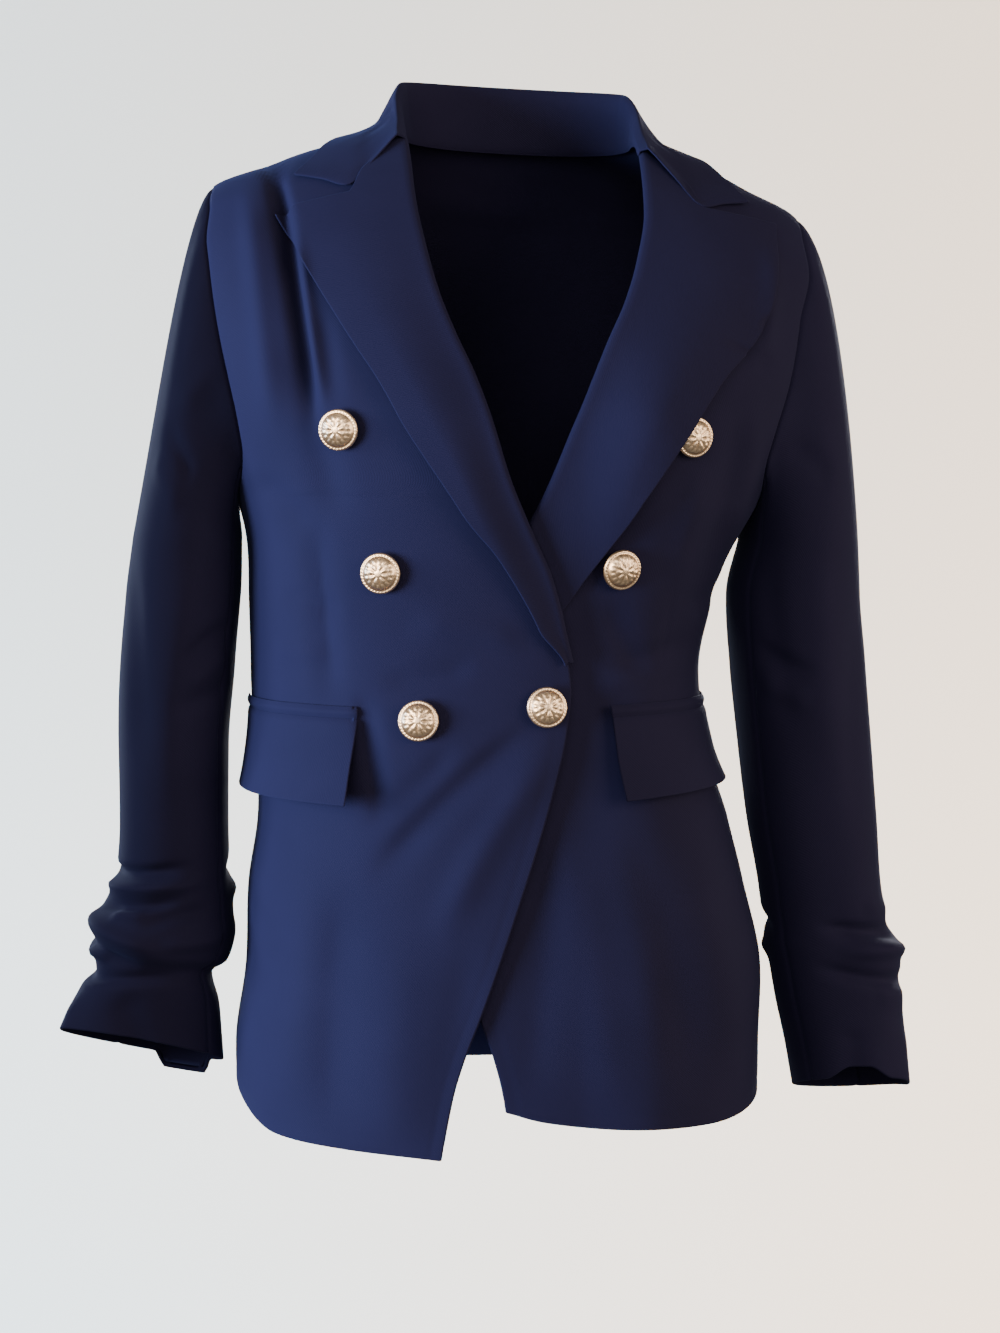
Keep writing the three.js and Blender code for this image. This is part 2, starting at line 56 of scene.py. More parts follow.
ARMPIT = -238.0  # height of the lowest point of the armhole
ARMHOLE_MIDDLE = (TIP + ARMPIT) / 2
ARMHOLE_HALF = (TIP - ARMPIT) / 2
NECK_SHIFT = 11.0  # the neck leans this far to the wearer's left
LEAN = 0.045  # drop of the left shoulder for each millimetre across
LEAN_FROM = -320.0  # below this the jacket hangs straight
LEAN_FULL = -100.0  # above this it leans in full
# How deep the left front lies under the right one: in full below `low` and nearer the middle than `near`, and
# not at all above `high` or beyond `far`.
UNDERLAP = dict(depth=7.5, low=-220, high=-120, near=40, far=95)

# Level sections of the worn body of the jacket, from the hem up.
BODY = [
    dict(z=-660, half=174, front=127, back=120, power=2.3, shift=-2),
    dict(z=-600, half=175, front=127, back=120, power=2.3, shift=-2),
    dict(z=-545, half=172, front=127, back=119, power=2.3, shift=2),
    dict(z=-490, half=165, front=125, back=113, power=2.3, shift=-3),
    dict(z=-450, half=157, front=122, back=106, power=2.3, shift=-5),
    dict(z=-400, half=150, front=118, back=98, power=2.3, shift=-13),
    dict(z=-350, half=149, front=114, back=94, power=2.3, shift=-17),
    dict(z=-305, half=154, front=116, back=97, power=2.3, shift=-13),
    dict(z=-268, half=161, front=120, back=101, power=2.3, shift=-7),
    dict(z=-238, half=173, front=124, back=104, power=2.3, shift=-2),
    dict(z=-190, half=191, front=126, back=107, power=2.35, shift=0),
    dict(z=-150, half=203, front=118, back=107, power=2.4, shift=1),
    dict(z=-115, half=211, front=107, back=105, power=2.4, shift=1),
    dict(z=-85, half=215, front=95, back=101, power=2.4, shift=3),
    dict(z=-55, half=205, front=80, back=94, power=2.3, shift=3),
    dict(z=-40, half=191, front=71, back=88, power=2.2, shift=4),
    dict(z=-26, half=159, front=61, back=81, power=2.2, shift=6),
    dict(z=-16, half=137, front=53, back=75, power=2.2, shift=8),
    dict(z=-8, half=114, front=47, back=70, power=2.2, shift=10),
    dict(z=2, half=79, front=40, back=63, power=2.1, shift=11),
]

# Depth of the armhole before and behind the shoulder line, by height.
ARMHOLE = [
    dict(z=-238, front=0, back=0),
    dict(z=-234, front=27, back=28),
    dict(z=-222, front=47, back=49),
    dict(z=-205, front=58, back=61),
    dict(z=-180, front=62, back=67),
    dict(z=-150, front=60, back=67),
    dict(z=-115, front=56, back=62),
    dict(z=-85, front=48, back=53),
    dict(z=-60, front=35, back=39),
    dict(z=-46, front=19, back=21),
    dict(z=-40, front=0, back=0),
]

# Where each front ends towards the middle: the cut edge below the waist, the roll of the lapel above it.
FRONT_EDGE = [
    dict(z=-660, right=-50, left=-1),
    dict(z=-613, right=-41, left=-8),
    dict(z=-590, right=-34, left=-14),
    dict(z=-564, right=-24, left=-23),
    dict(z=-507, right=-4, left=-36),
    dict(z=-415, right=25, left=-46),
    dict(z=-385, right=32, left=-46),
    dict(z=-358, right=35, left=-42),
    dict(z=-320, right=28, left=-24),
    dict(z=-287, right=19, left=-6),
    dict(z=-258, right=6, left=10),
    dict(z=-225, right=-8, left=26),
    dict(z=-190, right=-19, left=40),
    dict(z=-160, right=-30, left=52),
    dict(z=-136, right=-41, left=62),
    dict(z=-110, right=-51, left=74),
    dict(z=-83, right=-58, left=83),
    dict(z=-50, right=-64, left=90),
    dict(z=-20, right=-66.5, left=91),
    dict(z=-8, right=-68.5, left=91),
    dict(z=1, right=-68.5, left=91),
    dict(z=2, right=-67.5, left=89.5),
]

# The hem of each front, from its front edge to the side seam, and of the back.
HEM = [
    dict(across=0, right=-654, left=-625),
    dict(across=0.12, right=-652, left=-632),
    dict(across=0.35, right=-649, left=-638),
    dict(across=0.62, right=-645, left=-640),
    dict(across=0.85, right=-629, left=-634),
    dict(across=1, right=-619, left=-625),
]
BACK_HEM = dict(right=-619, middle=-632, left=-625)

# Lapels: the height of the roll at each row, the outer edge across and up, and how far it stands off.
LAPEL_RIGHT = [
    dict(row=0, roll=-12, x=-149, z=-62, off=4),
    dict(row=1, roll=-30, x=-138, z=-82, off=4.5),
    dict(row=2, roll=-60, x=-122, z=-110, off=5.5),
    dict(row=3, roll=-92, x=-104, z=-139, off=7),
    dict(row=4, roll=-124, x=-86, z=-166, off=8.5),
    dict(row=5, roll=-160, x=-67, z=-197, off=10),
    dict(row=6, roll=-194, x=-48, z=-225, off=10.5),
    dict(row=7, roll=-226, x=-31, z=-250, off=10.5),
    dict(row=8, roll=-257, x=-13, z=-272, off=10),
    dict(row=9, roll=-285, x=1, z=-294, off=9),
    dict(row=10, roll=-312, x=13, z=-317, off=7.5),
    dict(row=11, roll=-340, x=23, z=-342, off=5),
]
LAPEL_LEFT = [
    dict(row=0, roll=-14, x=174, z=-53, off=4),
    dict(row=1, roll=-32, x=171, z=-82, off=4.5),
    dict(row=2, roll=-62, x=164, z=-110, off=5),
    dict(row=3, roll=-88, x=151, z=-134, off=6),
    dict(row=4, roll=-114, x=133, z=-154, off=8),
    dict(row=5, roll=-142, x=114, z=-180, off=11),
    dict(row=6, roll=-172, x=97, z=-205, off=13),
    dict(row=7, roll=-202, x=80, z=-232, off=12.5),
    dict(row=8, roll=-232, x=64, z=-259, off=9.5),
    dict(row=9, roll=-262, x=47, z=-285, off=6),
    dict(row=10, roll=-290, x=28, z=-311, off=4.2),
    dict(row=11, roll=-318, x=4, z=-336, off=4),
]
NOTCH = dict(across=0.4, dip=16.5)  # where the top edge of a lapel bends, and how far below straight

# Collar, from the middle of the back to its front end, for one side: the seam on the neck hole, the fold at
# the top of the stand, a point half-way down the leaf and the leaf's outer edge.
COLLAR = [
    dict(at=0, bx=0, by=60, bz=4, fx=0, fy=60, fz=42, mx=0, my=69, mz=19, ex=0, ey=77, ez=-6),
    dict(at=1, bx=43, by=50, bz=4, fx=43, fy=50, fz=41, mx=51, my=58, mz=19, ex=60, ey=66, ez=-5),
    dict(at=2, bx=72, by=23, bz=4, fx=75, fy=24, fz=37, mx=86, my=28, mz=13, ex=102, ey=31, ez=-4),
    dict(at=3, bx=78, by=-4, bz=4, fx=80, fy=-2, fz=22, mx=96, my=-5, mz=3, ex=118, ey=-8, ez=-6),
    dict(at=4, bx=78, by=-28, bz=-1, fx=80, fy=-24, fz=7, mx=106, my=-34, mz=-17, ex=134, ey=-36, ez=-22),
    dict(at=5, bx=78, by=-43, bz=-9, fx=80, fy=-45, fz=-6, mx=113, my=-65, mz=-42, ex=147, ey=-50, ez=-37),
]
COLLAR_ROLL = 4.0  # half the thickness of the folded collar at the top

# Sleeves below the armpit: level of the ring, its middle, its half sizes, and how its plane tips.
SLEEVE_RIGHT = [
    dict(z=-598, x=-239, y=-4, wide=54, deep=31, tipX=-0.2, tipY=-0.27),
    dict(z=-585, x=-237, y=-3, wide=51, deep=33, tipX=-0.17, tipY=-0.25),
    dict(z=-564, x=-233, y=-1, wide=45, deep=38, tipX=-0.14, tipY=-0.2),
    dict(z=-547, x=-231, y=0, wide=39, deep=41, tipX=-0.1, tipY=-0.12),
    dict(z=-540, x=-228, y=1, wide=46, deep=47, tipX=-0.1, tipY=-0.1),
    dict(z=-524, x=-224, y=2, wide=47, deep=49, tipX=-0.08, tipY=-0.06),
    dict(z=-507, x=-221, y=3, wide=43, deep=48, tipX=-0.02),
    dict(z=-488, x=-218, y=4, wide=38, deep=47),
    dict(z=-450, x=-217, y=5, wide=36, deep=50),
    dict(z=-400, x=-217, y=6, wide=36.5, deep=54),
    dict(z=-345, x=-214, y=7, wide=38, deep=58),
    dict(z=-300, x=-210, y=7, wide=38, deep=60),
    dict(z=-264, x=-207, y=6, wide=36, deep=62),
]
SLEEVE_LEFT = [
    dict(z=-632, x=239, y=-2, wide=39.5, deep=42, tipY=-0.26),
    dict(z=-604, x=235, y=-1, wide=40.5, deep=42, tipY=-0.2),
    dict(z=-572, x=230, y=0, wide=42.5, deep=43, tipY=-0.12),
    dict(z=-552, x=228, y=1, wide=44, deep=44, tipY=-0.08),
    dict(z=-538, x=226, y=2, wide=45, deep=45, tipY=-0.05),
    dict(z=-522, x=221, y=3, wide=41, deep=45, tipY=-0.02),
    dict(z=-500, x=218, y=4, wide=41, deep=47),
    dict(z=-450, x=212, y=6, wide=43.5, deep=51),
    dict(z=-400, x=207, y=7, wide=44.5, deep=55),
    dict(z=-345, x=202, y=8, wide=45, deep=59),
    dict(z=-300, x=199, y=8, wide=44, deep=61),
    dict(z=-264, x=202, y=7, wide=39, deep=62),
]
SLEEVE_POWER = 2.15  # squareness of a sleeve ring
CAP_RIGHT = dict(start=0.07, end=0.42, drift=0.2)  # fullness of the head at its two ends, and its spread
CAP_LEFT = dict(start=0.1, end=0.46, drift=0.06)
FRONT_SEAM = 144.0  # turn of the sleeve seams, in degrees from the outside towards the front
BACK_SEAM = -72.0

POCKET_Z = -366.0  # height of the pocket line, the top of the welt
POCKET_BACK = 90.0  # angle of the back end of a pocket, at the side seam
POCKET_DROP = 3.0  # how much lower the front end of the line is
POCKET_OFF = CLOTH + 0.8  # how far off the body the outer face of a welt or flap is
WELT_TALL = 7.0
FLAP_TALL = 53.0  # height of a flap at its front end
FLAP_SHORTER = 4.0  # how much less it is at its back end
SEAM_GAP = 0.3  # between a welt and its flap
# For each pocket: the angle of its front end, how far the flap's lower edge stands off at its front and back
# ends, and how many degrees that edge swings back.
POCKET = dict(
    right=dict(start=39.5, front=17, back=9, swing=2.5),
    left=dict(start=37, front=8, back=4, swing=-2.5),
)

# Buttons: across, up, the front each is sewn to (-1 right, 1 left) and its turn on its thread.
BUTTONS = [
    dict(name="button_right_chest", x=-110, z=-197, side=-1, turn=20),
    dict(name="button_right_bust", x=-84, z=-284, side=-1, turn=-15),
    dict(name="button_right_waist", x=-61, z=-377, side=-1, turn=65),
    dict(name="button_closing", x=19, z=-369, side=-1, turn=5),
    dict(name="button_left_chest", x=112, z=-195, side=1, turn=110),
    dict(name="button_left_bust", x=68, z=-282, side=1, turn=-40),
]
BUTTON_SHANK = 3.0  # how far the foot of a button's head is off the cloth

# ---- creases
def fold(start, end, wide, deep, bow=0, skew=0):
    """One soft trough (deep below 0) or ridge (above 0) from one point to another, as wide as said on each
    side of its middle line. It may be bowed sideways, or skewed to be steeper on one side."""
    return dict(start=start, end=end, wide=wide, deep=deep, bow=bow, skew=skew)


# On the fronts and the back the points are (across, up).
FOLDS_RIGHT = [
    fold((-125, -262), (-117, -352), wide=1.5, deep=-1.0),  # dart seam
    fold((-128, -236), (-115, -378), wide=9, deep=-3.2),
    fold((-153, -8), (-126, -208), wide=5.5, deep=-10.5, bow=2, skew=-0.2),
    fold((-145, -130), (-108, -262), wide=11, deep=-3.2),
    fold((-168, -30), (-150, -214), wide=8, deep=4.2),
    fold((-137, -70), (-121, -190), wide=4.5, deep=3.5),
    fold((-122, -118), (-112, -190), wide=7, deep=-1.8),
    fold((22, -374), (-96, -484), wide=9, deep=-3.4, bow=-7, skew=0.2),
    fold((30, -388), (-52, -520), wide=11, deep=3.0, bow=-6),
    fold((-34, -388), (-104, -446), wide=8, deep=-1.8, bow=5),
    fold((-98, -356), (-86, -444), wide=6, deep=-3.4, skew=0.3),
    fold((-22, -340), (-88, -352), wide=7, deep=-1.4, bow=4),
    fold((10, -330), (-72, -318), wide=9, deep=1.6, bow=-5),
    fold((-130, -448), (-150, -648), wide=15, deep=2.4, bow=3),
    fold((-106, -470), (-116, -656), wide=14, deep=-2.4, bow=-4, skew=0.2),
    fold((-70, -505), (-82, -660), wide=17, deep=1.8),
    fold((-28, -500), (-58, -664), wide=12, deep=-1.4, bow=3),
    fold((-150, -300), (-106, -312), wide=6, deep=-1.5, bow=3),
    fold((-156, -330), (-112, -334), wide=8, deep=1.4, bow=-2),
    fold((-168, -225), (-128, -262), wide=8, deep=-2.0, bow=4),
]
FOLDS_LEFT = [
    fold((131, -131), (174, -147), wide=2.2, deep=-2.0, bow=-1, skew=0.2),
    fold((158, -117), (166, -122), wide=4.5, deep=-1.8),
    fold((170, -60), (160, -150), wide=8, deep=2.4, bow=2),
    fold((150, -160), (122, -320), wide=11, deep=-2.8, bow=4),
    fold((158, -170), (146, -280), wide=9, deep=2.4),
    fold((122, -208), (104, -300), wide=9, deep=1.8),
    fold((104, -292), (98, -352), wide=1.5, deep=-0.8),  # dart seam
    fold((60, -298), (92, -356), wide=8, deep=-2.2, bow=-4, skew=0.2),
    fold((128, -322), (58, -346), wide=8, deep=-2.2, bow=5),
    fold((120, -340), (48, -362), wide=7, deep=1.7, bow=-3),
    fold((150, -292), (112, -306), wide=7, deep=-1.6, bow=3),
    fold((70, -420), (120, -640), wide=15, deep=-2.6, bow=5),
    fold((40, -440), (66, -640), wide=16, deep=2.2, bow=-3),
    fold((116, -430), (152, -632), wide=13, deep=2.2),
    fold((20, -430), (10, -630), wide=13, deep=-1.8),
]
FOLDS_BACK = [
    fold((-150, -112), (-66, -176), wide=13, deep=-2.6, bow=8, skew=0.2),
    fold((146, -124), (58, -196), wide=12, deep=-2.2, bow=-7),
    fold((-132, -150), (-52, -214), wide=14, deep=2.0, bow=6),
    fold((-128, -322), (-18, -344), wide=10, deep=-3.2, bow=7, skew=0.3),
    fold((112, -312), (10, -338), wide=9, deep=-2.6, bow=-6, skew=-0.2),
    fold((-112, -356), (-26, -372), wide=9, deep=2.4, bow=5),
    fold((98, -346), (20, -366), wide=8, deep=2.0, bow=-4),
    fold((-92, -392), (-30, -398), wide=8, deep=-1.8, bow=4),
    fold((-64, -424), (-86, -640), wide=22, deep=3.4, bow=5),
    fold((-24, -440), (-30, -640), wide=15, deep=-2.4),
    fold((14, -418), (22, -640), wide=18, deep=2.4, bow=-4),
    fold((62, -436), (84, -640), wide=19, deep=-3.0, skew=0.2),
    fold((112, -452), (138, -632), wide=15, deep=2.4),
    fold((-168, -236), (-116, -306), wide=11, deep=-3.0, bow=-6),
    fold((162, -238), (112, -300), wide=10, deep=-2.6, bow=6),
    fold((-60, -30), (52, -34), wide=9, deep=-1.4, bow=-6),
]
# On the sleeves the points are (turn in degrees from the outside towards the front, up).
FOLDS_SLEEVE_RIGHT = [
    fold((50, -196), (96, -232), wide=6, deep=-3.2, bow=3, skew=0.3),
    fold((40, -212), (84, -250), wide=8, deep=2.2, bow=3),
    fold((74, -104), (122, -140), wide=7, deep=-3.0, bow=-3),
    fold((110, -150), (70, -190), wide=9, deep=1.8),
    fold((20, -262), (60, -420), wide=12, deep=-2.4, bow=6),
    fold((100, -262), (86, -452), wide=13, deep=2.0, bow=-4),
    fold((150, -318), (92, -346), wide=7, deep=-2.6, bow=-4, skew=0.2),
    fold((158, -352), (84, -372), wide=7, deep=-2.2, bow=4),
    fold((146, -336), (100, -360), wide=6, deep=1.8),
    fold((-30, -480), (118, -474), wide=4.5, deep=-5.5, bow=-4, skew=-0.3),
    fold((-30, -491), (136, -485), wide=4.5, deep=5.0, bow=-3),
    fold((0, -503), (110, -497), wide=4, deep=-5.5, bow=-3, skew=0.2),
    fold((34, -508), (74, -507), wide=4, deep=2.4),
    fold((66, -514), (134, -506), wide=5, deep=-3.4, bow=2),
    fold((-30, -511), (104, -535), wide=5, deep=5.5, bow=3),
    fold((-40, -523), (84, -543), wide=4, deep=-4.5, bow=3),
    fold((8, -533), (48, -536), wide=4, deep=2.4),
    fold((86, -528), (150, -524), wide=5, deep=3.0),
    fold((-40, -548), (140, -547), wide=4.5, deep=-4.5, bow=-3, skew=0.2),
    fold((70, -556), (96, -604), wide=9, deep=-2.0),
    fold((20, -560), (30, -610), wide=9, deep=1.8),
    fold((150, -486), (262, -478), wide=5, deep=-4.0, bow=4),
    fold((158, -500), (250, -494), wide=5, deep=3.4, bow=3),
    fold((170, -514), (276, -508), wide=4.5, deep=-3.6, skew=0.2),
    fold((200, -528), (300, -524), wide=5, deep=3.2, bow=-3),
    fold((160, -546), (310, -546), wide=4.5, deep=-4.0),
    fold((250, -330), (196, -352), wide=8, deep=-3.0, bow=4),
    fold((262, -362), (206, -372), wide=8, deep=2.4, bow=-4),
    fold((270, -180), (232, -246), wide=10, deep=-3.0, bow=5),
    fold((290, -250), (284, -440), wide=13, deep=2.4),
]
FOLDS_SLEEVE_LEFT = [
    fold((112, -521), (0, -531), wide=4.5, deep=-6.5, bow=-2, skew=0.3),
    fold((100, -538), (-8, -543), wide=5, deep=4.5, bow=-2),
    fold((124, -547), (-8, -562), wide=4.5, deep=-5.0, bow=3),
    fold((62, -508), (12, -514), wide=7, deep=2.0),
    fold((70, -566), (10, -574), wide=9, deep=1.6),
    fold((36, -286), (60, -470), wide=12, deep=-2.2, bow=5),
    fold((86, -240), (92, -430), wide=12, deep=2.2, bow=-5),
    fold((122, -110), (86, -150), wide=8, deep=-2.4, bow=4),
    fold((118, -196), (70, -226), wide=9, deep=-2.0, bow=-4),
    fold((128, -262), (112, -400), wide=10, deep=-2.0),
    fold((142, -330), (84, -352), wide=7, deep=-2.2, bow=4, skew=0.2),
    fold((140, -358), (90, -372), wide=7, deep=1.6),
    fold((30, -590), (40, -634), wide=10, deep=1.4),
    fold((92, -586), (104, -634), wide=9, deep=-1.8),
    fold((150, -528), (262, -520), wide=5, deep=-3.8, bow=4),
    fold((168, -542), (286, -536), wide=5, deep=3.0),
    fold((190, -556), (300, -552), wide=5, deep=-3.0, bow=-3),
    fold((252, -326), (192, -350), wide=8, deep=-3.0, bow=4, skew=0.2),
    fold((266, -356), (204, -376), wide=8, deep=2.2),
    fold((272, -176), (236, -240), wide=10, deep=-3.0, bow=-5),
    fold((300, -246), (288, -450), wide=13, deep=2.2),
]
SLEEVE_DEGREE = 0.8  # millimetres round a sleeve for each degree of turn
FOLD_END = 0.3  # share of a crease's length over which it dies out at each end
SEAM_CALM = 7.0  # degrees round the body over which creases die out towards a seam


# ---- reading the form
def smoothstep(value, low, high):
    t = np.clip((np.asarray(value, float) - low) / (high - low), 0, 1)
    return t * t * (3 - 2 * t)


def mix(a, b, t):
    return a + (b - a) * t


def read(table, value, *names):
    """Columns of a table at any value of its first column, smoothly and without overshoot.
    What a row leaves out is 0."""
    key = list(table[0])[0]
    keys = np.array([row[key] for row in table], float)
    value = np.clip(np.asarray(value, float), keys[0], keys[-1])
    i = np.clip(np.searchsorted(keys, value, side="right") - 1, 0, len(keys) - 2)
    step = keys[i + 1] - keys[i]
    t = (value - keys[i]) / step
    found = []
    for name in names:
        y = np.array([row.get(name, 0) for row in table], float)
        slope = np.diff(y) / np.diff(keys)
        bend = np.empty(len(keys))
        bend[0], bend[-1] = slope[0], slope[-1]
        a, b = slope[:-1], slope[1:]
        same = a * b > 0
        bend[1:-1] = np.where(same, 2 * a * b / np.where(same, a + b, 1), 0)
        rise = y[i + 1] - y[i]
        a = bend[i] * step - rise
        b = rise - bend[i + 1] * step
        found.append(y[i] + rise * t + t * (1 - t) * (a * (1 - t) + b * t))
    return found[0] if len(found) == 1 else found


def points(x, y, z):
    return np.stack(np.broadcast_arrays(x, y, z), axis=-1).astype(float)


def lean(p):
    """The shoulders lean: the wearer's left one hangs lower, less and less towards the waist."""
    q = p.copy()
    q[..., 2] -= LEAN * smoothstep(p[..., 2], LEAN_FROM, LEAN_FULL) * p[..., 0]
    return q


def around(z, degrees):
    """Points of the body's outer face at a height and an angle from straight ahead towards +X."""
    half, front, back, power, shift = read(BODY, z, "half", "front", "back", "power", "shift")
    sin, cos = np.sin(np.radians(degrees)), np.cos(np.radians(degrees))
    depth = np.where(cos > 0, front, back)
    r = ((np.abs(sin) / half) ** power + (np.abs(cos) / depth) ** power) ** (-1 / power)
    return points(shift + r * sin, -r * cos, z)


def angle_at_x(x, z):
    """The angle at which the front of the body's outer face is at x."""
    half, front, power, shift = read(BODY, z, "half", "front", "power", "shift")
    share = np.minimum(np.abs(x - shift) / half, 0.999)
    y = front * (1 - share**power) ** (1 / power)
    return np.degrees(np.arctan2(x - shift, y))


def armhole_angle(z, part):
    """The angle of the armhole's edge at a height; above and below it, of the shoulder or side seam."""
    half, depth, power = read(BODY, z, "half", part, "power")
    z = np.asarray(z, float)
    y = np.where((z >= TIP) | (z <= ARMPIT), 0, read(ARMHOLE, z, part))
    x = half * (1 - (y / depth) ** power) ** (1 / power)
    angle = np.degrees(np.arctan2(x, y))
    return angle if part == "front" else 180 - angle


def level(p):
    """0 on the body's outer face, less inside it and more outside."""
    half, front, back, power, shift = read(BODY, p[..., 2], "half", "front", "back", "power", "shift")
    depth = np.where(p[..., 1] < 0, front, back)
    wide = (np.abs(p[..., 0] - shift) / half) ** power
    return (wide + (np.abs(p[..., 1]) / depth) ** power) ** (1 / power) - 1


def outward(p):
    """How fast the level grows at each point, along each axis."""
    h = 0.5
    change = [level(p + h * axis) - level(p - h * axis) for axis in np.eye(3)]
    return np.stack(change, axis=-1) / (2 * h)


def unit(v):
    return v / np.maximum(np.linalg.norm(v, axis=-1, keepdims=True), 1e-9)


def off(p, distance):
    """Points of the body moved straight off its face."""
    return p + unit(outward(p)) * np.broadcast_to(distance, p.shape[:-1])[..., None]


def clear(p, distance):
    """Points pushed out, where they need it, until they stand at least so far off the body."""
    q = p.copy()
    for _ in range(4):
        way = outward(q)
        size = np.linalg.norm(way, axis=-1)
        gap = level(q) / np.maximum(size, 1e-9)
        push = np.where(q[..., 2] < TOP, np.maximum(distance - gap, 0), 0)
        q += unit(way) * push[..., None]
    return q


def sink(p, depth):
    """Points moved to lie just so deep inside the face of the body."""
    for _ in range(3):
        way = outward(p)
        gap = level(p) / np.maximum(np.linalg.norm(way, axis=-1), 1e-9)
        p = p - unit(way) * (gap + depth)[..., None]
    return p


def relief(folds, u, v):
    """How far the creases of a table raise or lower the cloth at each point."""
    total = np.zeros(np.broadcast(u, v).shape)
    for f in folds:
        (u0, v0), (u1, v1) = f["start"], f["end"]
        long = math.hypot(u1 - u0, v1 - v0)
        tu, tv = (u1 - u0) / long, (v1 - v0) / long
        along = ((u - u0) * tu + (v - v0) * tv) / long
        bowed = f["bow"] * 4 * along * (1 - along)
        across = (v - v0) * tu - (u - u0) * tv - bowed
        wide = f["wide"] * (1 + f["skew"] * np.sign(across))
        ends = smoothstep(along, 0, FOLD_END) * smoothstep(1 - along, 0, FOLD_END)
        total += f["deep"] * ends * np.exp(-((across / wide) ** 2))
    return total


def from_seam(p, part):
    """Degrees round the body between points of a panel and its side seam, armhole or shoulder seam."""
    shift = read(BODY, p[..., 2], "shift")
    ahead = -p[..., 1] if part == "front" else p[..., 1]
    angle = np.degrees(np.arctan2(np.abs(p[..., 0] - shift), ahead))
    limit = armhole_angle(p[..., 2], part)
    return np.maximum((limit if part == "front" else 180 - limit) - angle, 0)


def panel_relief(folds, p, part):
    """Creases of a panel, dying out at its seams, where the next piece holds the cloth."""
    return relief(folds, p[..., 0], p[..., 2]) * smoothstep(from_seam(p, part), 0, SEAM_CALM)


def front_relief(side, p):
    return panel_relief(FOLDS_RIGHT if side < 0 else FOLDS_LEFT, p, "front")


def tuck(side, p):
    """The left front passes under the right one: near the middle it lies this far inside the face."""
    if side < 0:
        return np.zeros(p.shape[:-1])
    low = 1 - smoothstep(p[..., 2], UNDERLAP["low"], UNDERLAP["high"])
    near = 1 - smoothstep(p[..., 0], UNDERLAP["near"], UNDERLAP["far"])
    return UNDERLAP["depth"] * low * near


def on_front(side, x, z, rise):
    """Points at x and z on a front as it lies, creases included, raised by so much."""
    p = around(z, angle_at_x(x, z))
    return off(p, rise - tuck(side, p) + front_relief(side, p))


# ---- cloth meshes
CLOSER = np.array([0.25, 0.6, 1.2])  # where the extra steps near an end are, in shares of their reach


def steps(count, first=0.0, last=0.0):
    """Even steps from 0 to 1, with closer ones up to so far from the two ends."""
    return np.unique(np.concatenate([np.linspace(0, 1, count + 1), first * CLOSER, 1 - last * CLOSER]))


def grid_normals(p):
    """Directions straight off a grid whose rows run upwards and whose points run to the right."""
    return unit(np.cross(np.gradient(p, axis=1), np.gradient(p, axis=0)))


def run_lengths(p, axis):
    """Length along the cloth from the first point of each line of a grid."""
    step = np.linalg.norm(np.diff(p, axis=axis), axis=-1)
    start = np.zeros_like(np.take(step, [0], axis=axis))
    return np.concatenate([start, np.cumsum(step, axis=axis)], axis=axis)


EDGE = 1.3  # thickness of the pressed free edges of lapels, collar and flaps
SEAM_DIP = 1.1  # depth of the little valley along a seam
SEAM_WIDE = 1.7  # width of that valley on each side of the seam
SEAM_REACH = 0.9  # how far, in half walls, a sewn edge reaches over to its neighbour inside the valley
PRESS = 0.25  # depth of the faint line that pressing leaves inside the free edges of fronts and back
PRESS_IN = 6.5  # how far that line is from the edge
PRESS_WIDE = 1.4  # half its width


def add_piece(name, finish, mesh, look):
    """A mesh as the piece that takes the place of the node of that name."""
    mesh.polygons.foreach_set("use_smooth", np.ones(len(mesh.polygons), bool))
    mesh.update()
    piece = bpy.data.objects.new(name + finish, mesh)
    bpy.context.scene.collection.objects.link(piece)
    piece.data.materials.append(look)
    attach(piece, "root")
    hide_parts(name)
    return piece


